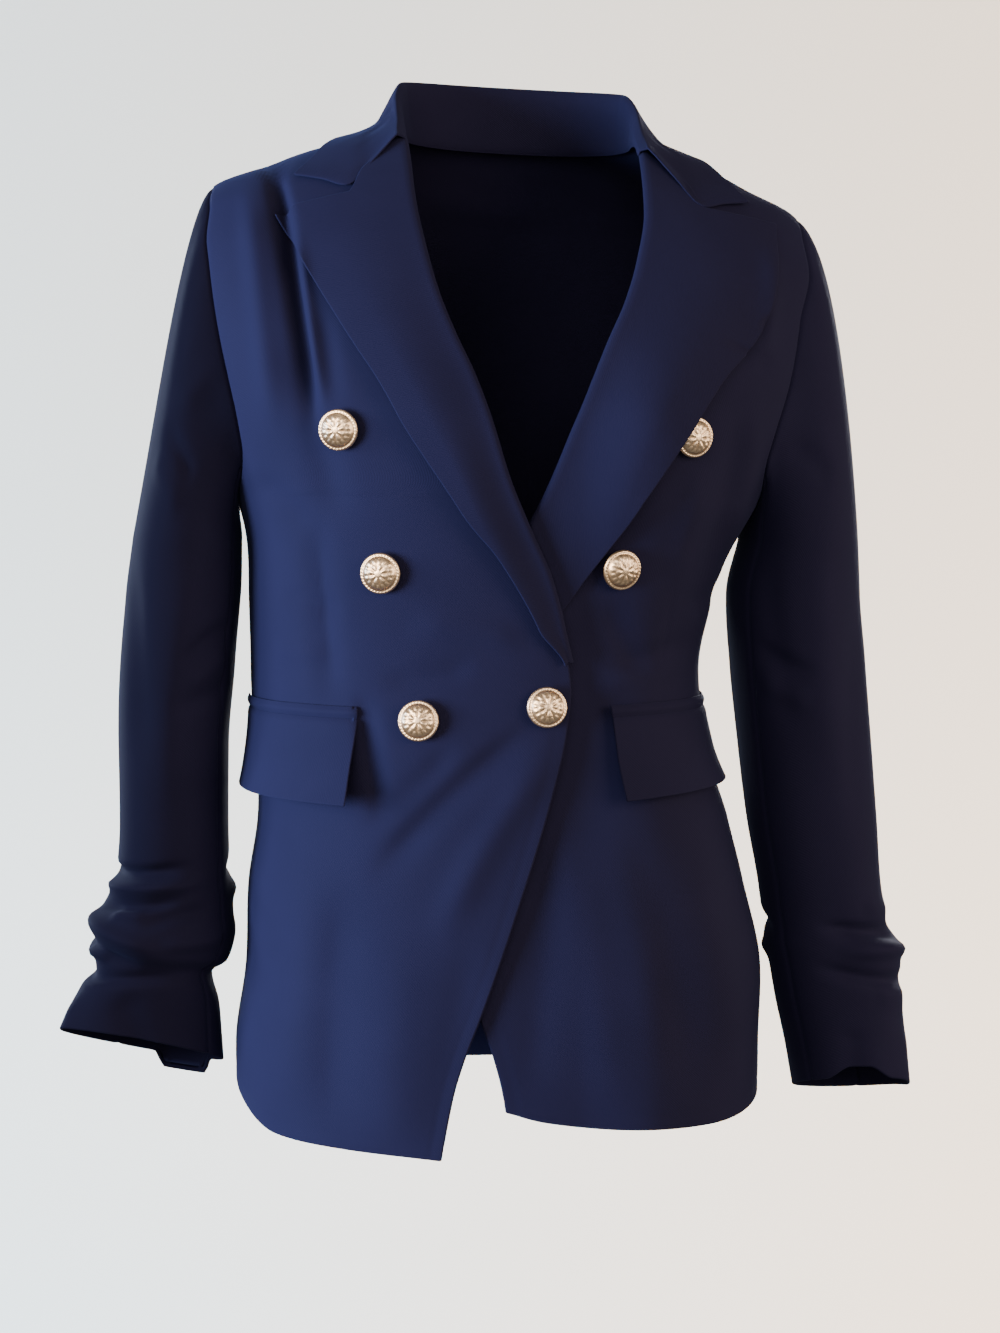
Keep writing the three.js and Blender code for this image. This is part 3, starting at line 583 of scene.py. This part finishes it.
def cloth(name, p, seams=(), wall=CLOTH, press=0.0):
    """A closed wall of cloth from a grid of outer points, rows upwards and points to the right as seen from
    outside. Sides named in seams meet another piece in a valley; the others end in a rounded edge."""
    p = lean(p)
    tall, wide = p.shape[:2]
    u = run_lengths(p, 1)
    v = run_lengths(p, 0)
    gaps = dict(left=u, right=u[:, -1:] - u, bottom=v, top=v[-1:] - v)
    rise = np.zeros((tall, wide))
    for side, gap in gaps.items():
        if side in seams:
            rise = np.minimum(rise, -SEAM_DIP * np.exp(-((gap / SEAM_WIDE) ** 2)))
        elif press:
            rise -= press * np.exp(-(((gap - PRESS_IN) / PRESS_WIDE) ** 2))
    normal = grid_normals(p)
    outer = p + normal * rise[..., None]
    inner = p - normal * wall
    count = tall * wide
    index = np.arange(count).reshape(tall, wide)
    quads = np.stack([index[:-1, :-1], index[:-1, 1:], index[1:, 1:], index[1:, :-1]], -1)
    quads = quads.reshape(-1, 4)
    loop = np.concatenate([index[0, :-1], index[:-1, -1], index[-1, :0:-1], index[:0:-1, 0]])
    flat_outer, flat_inner, flat_normal = (a.reshape(-1, 3) for a in (outer, inner, normal))
    ahead = flat_outer[np.roll(loop, -1)] - flat_outer[np.roll(loop, 1)]
    out = unit(np.cross(ahead, flat_normal[loop]))
    reach = np.ones(len(loop))
    corners = np.cumsum([0, wide - 1, tall - 1, wide - 1, tall - 1])
    for side, first, last in zip(("bottom", "right", "top", "left"), corners[:-1], corners[1:]):
        if side in seams:
            reach[np.arange(first, last + 1) % len(loop)] = SEAM_REACH
    middle = (flat_outer[loop] + flat_inner[loop]) / 2
    half = np.linalg.norm(flat_outer[loop] - flat_inner[loop], axis=1) / 2
    rims = []
    for angle in (45, 90, 135):
        c, s = math.cos(math.radians(angle)), math.sin(math.radians(angle))
        rims.append(middle + (flat_normal[loop] * c + out * (s * reach)[:, None]) * half[:, None])
    vertices = np.concatenate([flat_outer, flat_inner, *rims])
    rounds = [loop] + [2 * count + k * len(loop) + np.arange(len(loop)) for k in range(3)] + [loop + count]
    faces = [quads, quads[:, ::-1] + count]
    for a, b in zip(rounds[:-1], rounds[1:]):
        faces.append(np.stack([np.roll(a, -1), a, b, np.roll(b, -1)], -1))
    faces = np.concatenate(faces)
    mesh = bpy.data.meshes.new(name)
    mesh.from_pydata((vertices / 1000).tolist(), [], faces.tolist())
    flat_u, flat_v = (u - u.mean()).reshape(-1), (v - v.mean()).reshape(-1)
    layout = np.stack([flat_u, flat_v], -1) / 1000
    layout = np.concatenate([layout, layout] + [layout[loop]] * len(rims))
    weave = mesh.uv_layers.new(name="weave")
    weave.data.foreach_set("uv", layout[faces.reshape(-1)].reshape(-1))
    piece = add_piece(name, "_cloth", mesh, CLOTH_LOOK)


# ---- materials
def node(tree, kind, **inputs):
    made = tree.nodes.new(kind)
    for name, value in inputs.items():
        made.inputs[name.replace("_", " ")].default_value = value
    return made


def suiting():
    """Fine navy wool twill: slightly uneven in colour, ribbed, with a faint bluish bloom."""
    material = bpy.data.materials.new("navy_suiting")
    material.use_nodes = True
    tree = material.node_tree
    link = tree.links.new
    surface = tree.nodes["Principled BSDF"]
    surface.inputs["Roughness"].default_value = 0.78
    surface.inputs["Specular IOR Level"].default_value = 0.05
    surface.inputs["Sheen Weight"].default_value = 0.05
    surface.inputs["Sheen Roughness"].default_value = 0.45
    surface.inputs["Sheen Tint"].default_value = (0.45, 0.52, 0.95, 1)
    layout = tree.nodes.new("ShaderNodeUVMap")
    layout.uv_map = "weave"
    ribs = node(tree, "ShaderNodeTexWave", Scale=330.0, Distortion=0.6, Detail=1.0)
    ribs.wave_type = "BANDS"
    ribs.bands_direction = "DIAGONAL"
    link(layout.outputs["UV"], ribs.inputs["Vector"])
    threads = node(tree, "ShaderNodeTexNoise", Scale=900.0, Detail=2.0)
    link(layout.outputs["UV"], threads.inputs["Vector"])
    cloudy = node(tree, "ShaderNodeTexNoise", Scale=14.0, Detail=3.0)
    link(layout.outputs["UV"], cloudy.inputs["Vector"])
    shade = tree.nodes.new("ShaderNodeMix")
    shade.data_type = "RGBA"
    shade.inputs["A"].default_value = (0.0125, 0.0102, 0.0245, 1)
    shade.inputs["B"].default_value = (0.0165, 0.0134, 0.0315, 1)
    link(cloudy.outputs["Fac"], shade.inputs["Factor"])
    link(shade.outputs["Result"], surface.inputs["Base Color"])
    raised = tree.nodes.new("ShaderNodeMath")
    raised.operation = "ADD"
    link(ribs.outputs["Fac"], raised.inputs[0])
    link(threads.outputs["Fac"], raised.inputs[1])
    bump = node(tree, "ShaderNodeBump", Strength=0.25, Distance=0.00018)
    link(raised.outputs["Value"], bump.inputs["Height"])
    link(bump.outputs["Normal"], surface.inputs["Normal"])
    return material


def button_metal():
    """Polished pale gold plate, a little worn, with shade painted in: darker in the hollows of the relief and
    on the underside.
    """
    material = bpy.data.materials.new("pale_gold")
    material.use_nodes = True
    tree = material.node_tree
    link = tree.links.new
    surface = tree.nodes["Principled BSDF"]
    surface.inputs["Metallic"].default_value = 1.0
    spots = node(tree, "ShaderNodeTexNoise", Scale=420.0, Detail=3.0)
    place = tree.nodes.new("ShaderNodeTexCoord")
    link(place.outputs["Object"], spots.inputs["Vector"])
    # Painted shade: the hollow mask mixes in the darker gold over the hollows of the relief and the
    # underside.
    hollow = tree.nodes.new("ShaderNodeAttribute")
    hollow.attribute_name = "hollow"
    tone = tree.nodes.new("ShaderNodeMix")
    tone.data_type = "RGBA"
    tone.inputs["A"].default_value = (1.0, 0.70, 0.42, 1)
    tone.inputs["B"].default_value = (0.50, 0.29, 0.14, 1)
    link(hollow.outputs["Fac"], tone.inputs["Factor"])
    link(tone.outputs["Result"], surface.inputs["Base Color"])
    rough = tree.nodes.new("ShaderNodeMapRange")
    rough.inputs["To Min"].default_value = 0.30
    rough.inputs["To Max"].default_value = 0.44
    link(spots.outputs["Fac"], rough.inputs["Value"])
    link(rough.outputs["Result"], surface.inputs["Roughness"])
    return material


CLOTH_LOOK = suiting()
GOLD_LOOK = button_metal()

# ---- fronts and back
AROUND = 120  # steps right round an armhole
LOWEST = -648.0  # height of the lowest row before it swings to the hem
SWING_TOP = -500.0  # rows above this stay level
HALF_GAP = 0.15  # half the gap between a front and the back at their seam
SIDE_TOP = -200.0  # above this the rows of a panel run straight to the armhole
armhole_turns = 2 * np.pi * np.arange(AROUND // 2, -1, -1) / AROUND
heights = np.concatenate([
    LOWEST + (ARMPIT - 3 - LOWEST) * steps(118, 0.006),
    ARMHOLE_MIDDLE + ARMHOLE_HALF * np.cos(armhole_turns),
    np.linspace(TIP + 2.5, TOP, 15),
])


def towards_hem(z, hem):
    """Lower rows swing from level to the line of the hem."""
    return z + (hem - LOWEST) * (1 - smoothstep(z, LOWEST, SWING_TOP))


def seam_angle(z, part):
    """The armhole's or seam's angle, less the gap that a panel keeps to it."""
    gap = np.degrees(HALF_GAP / read(BODY, z, "half"))
    angle = armhole_angle(z, part)
    return angle - gap if part == "front" else angle + gap


def spread(inner, z, part, across):
    """Inner points of a panel keep to an even side line; only the last few bend to the armhole."""
    even = 90 - 20 * smoothstep(z, -330, SIDE_TOP)
    even = even if part == "front" else 180 - even
    even = np.where(z > SIDE_TOP, armhole_angle(z, part), even)
    return mix(inner, even, across) + (seam_angle(z, part) - even) * np.clip(across, 0, 1) ** 4


def front(side):
    """The right front (side -1) or the left one (side 1)."""
    which = "right" if side < 0 else "left"
    across = steps(92, 0.006, 0.008)[None, :]
    z = towards_hem(heights[:, None], read(HEM, across, which))
    inner = side * angle_at_x(read(FRONT_EDGE, z, which), z)
    p = around(z, side * spread(inner, z, "front", across))
    p = off(p, front_relief(side, p) - tuck(side, p))
    return p[:, ::-1] if side < 0 else p


def back():
    across = 2 * steps(128, 0.004, 0.004)[None, :] - 1
    corner = np.where(across < 0, BACK_HEM["left"], BACK_HEM["right"])
    z = towards_hem(heights[:, None], mix(BACK_HEM["middle"], corner, across**2))
    half = 180 - spread(180, z, "back", np.abs(across))
    p = around(z, 180 + np.sign(across) * half)
    return off(p, panel_relief(FOLDS_BACK, p, "back"))


cloth("front_right", front(-1), ("left", "top"), press=PRESS)
cloth("front_left", front(1), ("right", "top"), press=PRESS)
cloth("back", back(), ("left", "right", "top"), press=PRESS)


# ---- sleeves
def ring(side, table, z, turn):
    """Points of a sleeve below the armpit, at a height and a turn from the outside towards the front."""
    x0, y0, wide, deep, tip_x, tip_y = read(table, z, "x", "y", "wide", "deep", "tipX", "tipY")
    cos, sin = np.cos(np.radians(turn)), np.sin(np.radians(turn))
    r = (np.abs(cos) ** SLEEVE_POWER + np.abs(sin) ** SLEEVE_POWER) ** (-1 / SLEEVE_POWER)
    x, y = side * wide * r * cos, -deep * r * sin
    return points(x0 + x, y0 + y, z + tip_x * x + tip_y * y)


HEAD_TUCK = 1.2  # how far the sleeve head reaches in under the armhole's edge
HEAD_SINK = 1.0  # how deep it lies there
HEAD_SLOPE = -0.28  # how steeply it comes out again
CUFF_REACH = 34.0  # how far up the shape of a cuff's edge dies out


def unrolled(crease):
    """A crease of a sleeve with its two turns as lengths round the sleeve."""
    (turn0, z0), (turn1, z1) = crease["start"], crease["end"]
    return dict(crease, start=(turn0 * SLEEVE_DEGREE, z0), end=(turn1 * SLEEVE_DEGREE, z1))


def sleeve_points(side, turns):
    """The whole sleeve: rings from the cuff to the armpit's level, then the head out to the armhole."""
    table = SLEEVE_RIGHT if side < 0 else SLEEVE_LEFT
    cap = CAP_RIGHT if side < 0 else CAP_LEFT
    folds = [unrolled(f) for f in (FOLDS_SLEEVE_RIGHT if side < 0 else FOLDS_SLEEVE_LEFT)]
    turn = turns[None, :]
    low, high = table[0]["z"], table[-1]["z"]
    z = (low + (high - low) * steps(138, 0.006))[:, None]
    lower = ring(side, table, z, turn)
    t = np.linspace(1, 0, 47)[1:, None]
    a = np.radians(turn)
    at = ARMHOLE_MIDDLE + ARMHOLE_HALF * np.cos(a)
    angle = np.where(np.sin(a) > 0, armhole_angle(at, "front"), armhole_angle(at, "back"))
    start = around(at, side * angle)
    away = unit(start * np.array([0, 1, 1]) - np.array([0, 0, ARMHOLE_MIDDLE]))
    start = sink(start + away * HEAD_TUCK, HEAD_SINK)
    end = ring(side, table, np.full_like(turn, high), turn)
    long = np.linalg.norm(end - start, axis=-1, keepdims=True)
    second = start + np.array([side, 0, HEAD_SLOPE]) * cap["start"] * long
    outer = np.maximum(0, np.cos(a))
    lift = points(-side * cap["drift"] * outer, 0 * outer, 1 + 0 * outer)
    third = end + lift * cap["end"] * long
    t = t[..., None]
    head = start * (1 - t) ** 3 + second * 3 * t * (1 - t) ** 2 + third * 3 * t * t * (1 - t) + end * t**3
    p = np.concatenate([lower, head])
    degrees = np.broadcast_to(np.mod(turn + 90, 360) - 90, p.shape[:-1])
    high_up = p[..., 2]
    amount = sum(relief(folds, (degrees + whole) * SLEEVE_DEGREE, high_up) for whole in (0, 360))
    held = np.ones(len(p))
    held[len(lower):] = np.linspace(1, 0, len(head)) ** 0.5
    p = p - side * grid_normals(p) * (amount * held[:, None])[..., None]
    near_edge = 1 - smoothstep(high_up - high_up[:1], 0, CUFF_REACH)
    if side < 0:  # the vent at the back of this cuff gapes, and its corner hangs below the edge
        edge = -10 * smoothstep(degrees, 214, 222) * (1 - smoothstep(degrees, 255, 262))
    else:  # the front of this cuff is scooped up, and its two corners hang
        edge = 7.5 * smoothstep(degrees, 58, 84) * (1 - smoothstep(degrees, 102, 128))
        edge = edge - 2.5 * np.exp(-(((degrees - 8) / 30) ** 2))
    p[..., 2] += edge * near_edge
    return p if side < 0 else p[:, ::-1]


TRIM = 0.12  # degrees kept clear at each sleeve seam
TURN_STEP = 3  # degrees between the points of a sleeve ring


def sleeve_piece(name, side, start, end):
    turns = mix(start + TRIM, end - TRIM, steps(int((end - start) / TURN_STEP), 0.012, 0.012))
    cloth(name, sleeve_points(side, turns), ("left", "right", "top"))


for side, hand in ((-1, "right"), (1, "left")):
    sleeve_piece("sleeve_top_" + hand, side, BACK_SEAM, FRONT_SEAM)
    sleeve_piece("sleeve_under_" + hand, side, FRONT_SEAM, 360 + BACK_SEAM)

# ---- lapels and collar
LAPEL_ROWS = 11  # the number of the lowest row of the lapel tables
GORGE_LIFT = 9.0  # how far the top of a lapel reaches up to its seam with the collar
GORGE_ROWS = 1.4  # rows over which that reach dies out
LAPEL_RISE = 3.6  # how far off the body a lapel lies just outside its roll
# A lapel turns round the edge of its front at the roll: how far past that edge, and how far off the body.
LAPEL_TURN = [
    dict(step=0, beyond=2.6, off=-2.2),
    dict(step=1, beyond=3.5, off=-0.8),
    dict(step=2, beyond=3.9, off=0.9),
    dict(step=3, beyond=3.1, off=2.5),
    dict(step=4, beyond=1.2, off=3.5),
]


def lapel(side):
    """A lapel from the inside of its roll, round the front's edge and out over the chest to its peak."""
    table = LAPEL_RIGHT if side < 0 else LAPEL_LEFT
    which = "right" if side < 0 else "left"
    row = (LAPEL_ROWS * (1 - steps(110, 0.004, 0.006)))[:, None]
    roll, edge_x, edge_z, edge_off = read(table, row, "roll", "x", "z", "off")
    roll_x = read(FRONT_EDGE, roll, which)
    beyond, turn_off = read(LAPEL_TURN, np.linspace(0, 4, 9)[None, :], "beyond", "off")
    gorge = GORGE_LIFT * np.maximum(0, 1 - row / GORGE_ROWS)
    turned = on_front(side, roll_x - side * beyond, roll + gorge + 0 * beyond, turn_off)
    across = steps(34, last=0.012)[None, 1:]
    from_notch = np.abs(across - NOTCH["across"]) / (1 - NOTCH["across"])
    dip = np.maximum(0, 1 - row / 2) * NOTCH["dip"] * np.maximum(0, 1 - from_notch)
    taper = 1 - 0.8 * smoothstep(row, 10.1, LAPEL_ROWS)
    x = mix(roll_x, edge_x, across * taper)
    z = mix(roll, edge_z, across) - dip + gorge * (1 - smoothstep(across, 0.3, 0.42))
    reach = across * mix(1.6, 1.0, smoothstep(row, 5.5, 9.5))
    rise = mix(LAPEL_RISE, edge_off, smoothstep(reach, 0, 1.15))
    lying = on_front(side, x, z, rise)
    p = np.concatenate([turned, lying], axis=1)
    return p[:, ::-1] if side < 0 else p


cloth("lapel_right", lapel(-1), wall=EDGE)
cloth("lapel_left", lapel(1), wall=EDGE)


def curve_through(controls, t):
    """A smooth curve through rows of control points; t counts controls."""
    last = len(controls) - 1
    i = np.clip(np.floor(t).astype(int), 0, last - 1)
    s = (t - i)[:, None, None]
    a, b, c, d = (controls[np.clip(i + k, 0, last)] for k in (-1, 0, 1, 2))
    return 0.5 * (2 * b + (c - a) * s + (2 * a - 5 * b + 4 * c - d) * s**2 + (3 * b - a - 3 * c + d) * s**3)


STAND_TUCK = 7.0  # how far the stand reaches down inside the neck seam at the back
NAPE = 0.6  # the two halves of the collar run into one another over this much of their rows
LEAF_OFF = CLOTH + 1.3  # the least that the leaf stands off the body


def collar():
    """The collar from its seam up the stand, over the fold and down the leaf, all round the neck."""
    at = np.linspace(-5, 5, 151)
    far = np.abs(at)
    rounded = np.where(far < NAPE, (far**2 + NAPE**2) / (2 * NAPE), far)
    lines = []
    for line in "bfme":
        x = NECK_SHIFT + np.sign(at) * read(COLLAR, far, line + "x")
        lines.append(points(x, *read(COLLAR, rounded, line + "y", line + "z")))
    base, crest, half, edge = lines
    out = unit((half - base) * np.array([1, 1, 0])) * COLLAR_ROLL
    up = np.array([0, 0, 1])
    drop = np.minimum(5, (crest - base)[:, 2:] / 3) * up
    inner = crest - out - drop
    outer = crest + out - drop
    tucked = STAND_TUCK * (1 - 0.8 * smoothstep(far, 2.5, 4.5))
    base = base - tucked[:, None] * up
    stand = [base - out, (base - out + inner) / 2, inner, crest, outer]
    leaf = [clear(line, LEAF_OFF) for line in ((outer + half) / 2, half, (half + edge) / 2, edge)]
    controls = np.stack(stand + leaf)
    return curve_through(controls, (len(controls) - 1) * steps(48, 0.01, 0.01))


cloth("collar", collar(), ("bottom",), wall=EDGE)


# ---- pockets
def pocket_strip(side, start, downs, top, tall, shorter=0.0, swing=0.0, stand=(0.0, 0.0)):
    """A strip of cloth on a front: `top` below the pocket line and `tall`, so much shorter at its back end.
    Its lower edge swings back round the body and stands off it at its front and back ends."""
    down = downs[:, None]
    back = steps(66, 0.012, 0.012)[None, :]
    angle = mix(start, POCKET_BACK, back) + swing * down
    z = POCKET_Z - POCKET_DROP * (1 - back) - top - down * (tall - shorter * back)
    p = around(z, side * angle)
    p = off(p, POCKET_OFF + mix(*stand, back) * down**1.3 + front_relief(side, p))
    return p[:, ::-1] if side < 0 else p


for side, hand in ((-1, "right"), (1, "left")):
    pocket = POCKET[hand]
    welt = pocket_strip(side, pocket["start"], steps(8)[::-1], 0, WELT_TALL)
    cloth("welt_" + hand, welt, ("bottom", "top"))
    stand = (pocket["front"], pocket["back"])
    downs = steps(30, last=0.03)[::-1]
    below = WELT_TALL + SEAM_GAP
    sizes = (below, FLAP_TALL, FLAP_SHORTER)
    flap = pocket_strip(side, pocket["start"], downs, *sizes, pocket["swing"], stand)
    cloth("flap_" + hand, flap, ("top",), wall=EDGE)


# ---- buttons
# The face of a button from its middle out, and its underside and shank, by radius.
DOME = [
    dict(r=0, high=6.8),
    dict(r=2.5, high=6.75),
    dict(r=5.5, high=6.3),
    dict(r=8.6, high=5.0),
    dict(r=10.4, high=3.5),
    dict(r=11.2, high=2.7),
    dict(r=12.2, high=2.7),
    dict(r=13, high=1.4),
]
UNDERSIDE = [
    dict(r=13, high=0.9),
    dict(r=12.6, high=0.4),
    dict(r=11.5, high=0),
    dict(r=3, high=0),
    dict(r=3, high=-2.5),
    dict(r=0.05, high=-2.5),
]
# Radii of the rings of points on the face, closer where the relief is finer.
FACE_RINGS = [
    0.05, 0.6, 1.2, 1.8, 2.3, 2.8, 3.4, 4, 4.6, 5.2, 5.8, 6.4, 7,
    7.6, 8.2, 8.8, 9.4, 10, 10.5, 11, 11.4, 11.8, 12.2, 12.6, 12.9, 13,
]
CARVED = 0.75  # strength of the whole relief


def button(name, x, z, side, turn):
    """A domed button with a twisted rim and an eight-petalled rosette in low relief, on its shank."""
    way = np.linspace(0, 2 * np.pi, 144, endpoint=False)[None, :]
    cos, sin = np.cos(way), np.sin(way)
    r = np.array(FACE_RINGS)[:, None]
    boss = 0.35 * (1 - smoothstep(r, 1.4, 2.4))
    rosette = 0.34 * np.cos(8 * way) * smoothstep(r, 2.0, 3.6) * (1 - smoothstep(r, 5.4, 6.6))
    leaves = 0.26 * np.cos(16 * way + 3) * smoothstep(r, 6.6, 7.6) * (1 - smoothstep(r, 8.8, 9.8))
    ringed = -0.28 * np.exp(-(((r - 6.6) / 0.35) ** 2)) - 0.35 * np.exp(-(((r - 10.4) / 0.4) ** 2))
    rope = 0.2 * np.cos(36 * way + 2.2 * r) * np.exp(-(((r - 11.7) / 0.75) ** 2))
    carved = CARVED * (rosette + boss + leaves + ringed + rope)
    face = points(r * cos, r * sin, BUTTON_SHANK + read(DOME, r, "high") + carved)
    under = [points(u["r"] * cos, u["r"] * sin, BUTTON_SHANK + u["high"]) for u in UNDERSIDE]
    grid = np.concatenate([face, *under])
    rows, wide = grid.shape[:2]
    index = np.arange(rows * wide).reshape(rows, wide)
    beside = np.roll(index, -1, axis=1)
    faces = np.stack([index[:-1], index[1:], beside[1:], beside[:-1]], -1).reshape(-1, 4).tolist()
    faces += [index[0].tolist(), index[-1, ::-1].tolist()]
    mesh = bpy.data.meshes.new(name)
    mesh.from_pydata((grid.reshape(-1, 3) / 1000).tolist(), [], faces)
    # Painted shade for the gold: darker where the relief is carved in, and half dark over the whole underside
    # and shank.
    painted_shade_mask = np.concatenate([smoothstep(-carved, 0.02, 0.34), np.full((len(under), wide), 0.5)]).reshape(-1)
    mesh.attributes.new("hollow", "FLOAT", "POINT").data.foreach_set("value", painted_shade_mask.astype(np.float32))
    seat = around(z, angle_at_x(x, z))
    place = lean(off(seat, front_relief(side, seat) - tuck(side, seat)))
    facing = Vector(unit(outward(seat))).to_track_quat("Z", "Y").to_matrix().to_4x4()
    turned = facing @ Matrix.Rotation(math.radians(turn), 4, "Z")
    mesh.transform(Matrix.Translation(Vector(place) / 1000) @ turned)
    piece = add_piece(name, "_gold", mesh, GOLD_LOOK)


for sewn in BUTTONS:
    button(**sewn)

# ---- studio
# In metres, as the lamps and the camera are.
FLOOR = -1.05
FLAT = 1.2  # radius of the flat floor
WALL = 4.4  # radius of the wall
HIGH = 2.2  # height at which the curved floor becomes wall
CEILING = 4.6  # height of the wall over the floor


def studio():
    """A pale round room whose floor curves up into its wall, so every side has the same plain backdrop."""
    count, curve = 96, 40
    vertices, faces = [(0, 0, FLOOR)], []
    profile = []
    for k in range(curve + 1):
        t = 0.5 * math.pi * k / curve
        profile.append((FLAT + (WALL - FLAT) * math.sin(t), HIGH * (1 - math.cos(t))))
    profile.append((WALL, CEILING))
    for r, h in profile:
        for k in range(count):
            a = 2 * math.pi * k / count
            vertices.append((r * math.cos(a), r * math.sin(a), FLOOR + h))
    for k in range(count):
        faces.append((0, 1 + k, 1 + (k + 1) % count))
    for i in range(len(profile) - 1):
        for k in range(count):
            a, b = 1 + i * count + k, 1 + i * count + (k + 1) % count
            faces.append((a, a + count, b + count, b))
    mesh = bpy.data.meshes.new("studio")
    mesh.from_pydata(vertices, [], faces)
    mesh.polygons.foreach_set("use_smooth", [True] * len(faces))
    room = bpy.data.objects.new("studio", mesh)
    bpy.context.scene.collection.objects.link(room)
    room.visible_diffuse = False
    room.visible_glossy = False
    paint = bpy.data.materials.new("pale_wall")
    paint.use_nodes = True
    surface = paint.node_tree.nodes["Principled BSDF"]
    surface.inputs["Base Color"].default_value = (0.80, 0.80, 0.80, 1)
    surface.inputs["Roughness"].default_value = 0.9
    surface.inputs["Specular IOR Level"].default_value = 0.1
    room.data.materials.append(paint)
    room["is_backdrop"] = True
    return room


def group(name, objects):
    made = bpy.data.collections.new(name)
    for o in objects:
        made.objects.link(o)
    return made


def soft_light(name, place, size, power, colour, aim, lit, shading):
    """An area lamp that lights one collection; only the objects in `shading` stand in its way."""
    lamp = bpy.data.lights.new(name, "AREA")
    lamp.shape = "DISK"
    lamp.size = size
    lamp.energy = power
    lamp.color = colour
    made = bpy.data.objects.new(name, lamp)
    made.location = place
    made.rotation_euler = (Vector(aim) - Vector(place)).to_track_quat("-Z", "Y").to_euler()
    made.visible_camera = False
    bpy.context.scene.collection.objects.link(made)
    made.light_linking.receiver_collection = lit
    made.light_linking.blocker_collection = shading


room = studio()
CENTRE = (0, 0, -0.3)  # the middle of the garment, where the lamps point
garment = group("garment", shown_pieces())
# The key is flagged off the sleeves, which hang in soft shade beside the brighter body, and off the pocket
# on the far side. The metal buttons have a warmer lamp of their own from the same side.
buttons = group("buttons", [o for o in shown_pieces() if o.name.startswith("button")])
SHADED = ("sleeve", "flap_left", "welt_left", "button")
body = group("lit_by_key", [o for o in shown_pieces() if not o.name.startswith(SHADED)])
wall = group("lit_by_wall_lamps", [room])
soft_light("window_key", (-2.8, -1.3, -0.45), 1.5, 330, (0.42, 0.58, 1.0), CENTRE, body, garment)
soft_light("metal_key", (-2.3, -2.2, 0.3), 1.6, 150, (1.0, 0.90, 0.80), CENTRE, buttons, garment)
LAMPS = [
    dict(name="front", place=(-0.7, -3.0, 0.5), size=2.4, power=34, colour=(0.95, 0.94, 1.0)),
    dict(name="warm_fill", place=(2.1, -2.0, 0.3), size=2.0, power=56, colour=(1.0, 0.88, 0.80)),
    dict(name="side_left", place=(-3.0, -0.1, 0.1), size=1.0, power=100, colour=(0.48, 0.64, 1.0)),
    dict(name="side_right", place=(3.0, 0.3, -0.2), size=1.4, power=26, colour=(1.0, 0.86, 0.76)),
    dict(name="back_left", place=(-1.9, 2.5, 0.1), size=1.4, power=60, colour=(0.70, 0.82, 1.0)),
    dict(name="overhead", place=(0.0, 0.4, 3.0), size=2.5, power=12, colour=(0.95, 0.96, 1.0)),
    dict(name="behind", place=(1.3, 2.9, 0.2), size=1.5, power=80, colour=(0.95, 0.95, 1.0)),
]
for lamp in LAMPS:
    soft_light(**lamp, aim=CENTRE, lit=garment, shading=garment)
# Six lamps light only the wall of the room, cool on one side and warm on the other.
for k in range(6):
    turn = math.radians(60 * k)
    x, y = math.cos(turn), math.sin(turn)
    warm = float(smoothstep(x, -0.4, 0.4))
    colour = (mix(0.40, 1.0, warm), mix(0.75, 0.62, warm), mix(1.0, 0.30, warm))
    place = (0.9 * x, 0.9 * y, 1.9)
    aim = (4.2 * x, 4.2 * y, -0.3)
    soft_light("wall_%d" % (k + 1), place, 1.2, 290, colour, aim, wall, wall)

world = bpy.data.worlds.new("studio_air")
world.use_nodes = True
air = world.node_tree.nodes["Background"]
air.inputs["Color"].default_value = (0.9, 0.94, 1.0, 1)
air.inputs["Strength"].default_value = 0.18
bpy.context.scene.world = world

# ---- camera
CAMERA_EYE = (-0.1743, -1.9924, -0.238)
CAMERA_TURN = -5.0  # degrees: the camera stands a little to the wearer's right
CAMERA_DIP = 3.18  # degrees below level

lens = bpy.data.cameras.new("front_view")
lens.lens = 81
lens.sensor_width = 36
camera = bpy.data.objects.new("front_view", lens)
camera.location = CAMERA_EYE
camera.rotation_euler = (math.radians(90 - CAMERA_DIP), 0, math.radians(CAMERA_TURN))
bpy.context.scene.collection.objects.link(camera)
bpy.context.scene.camera = camera
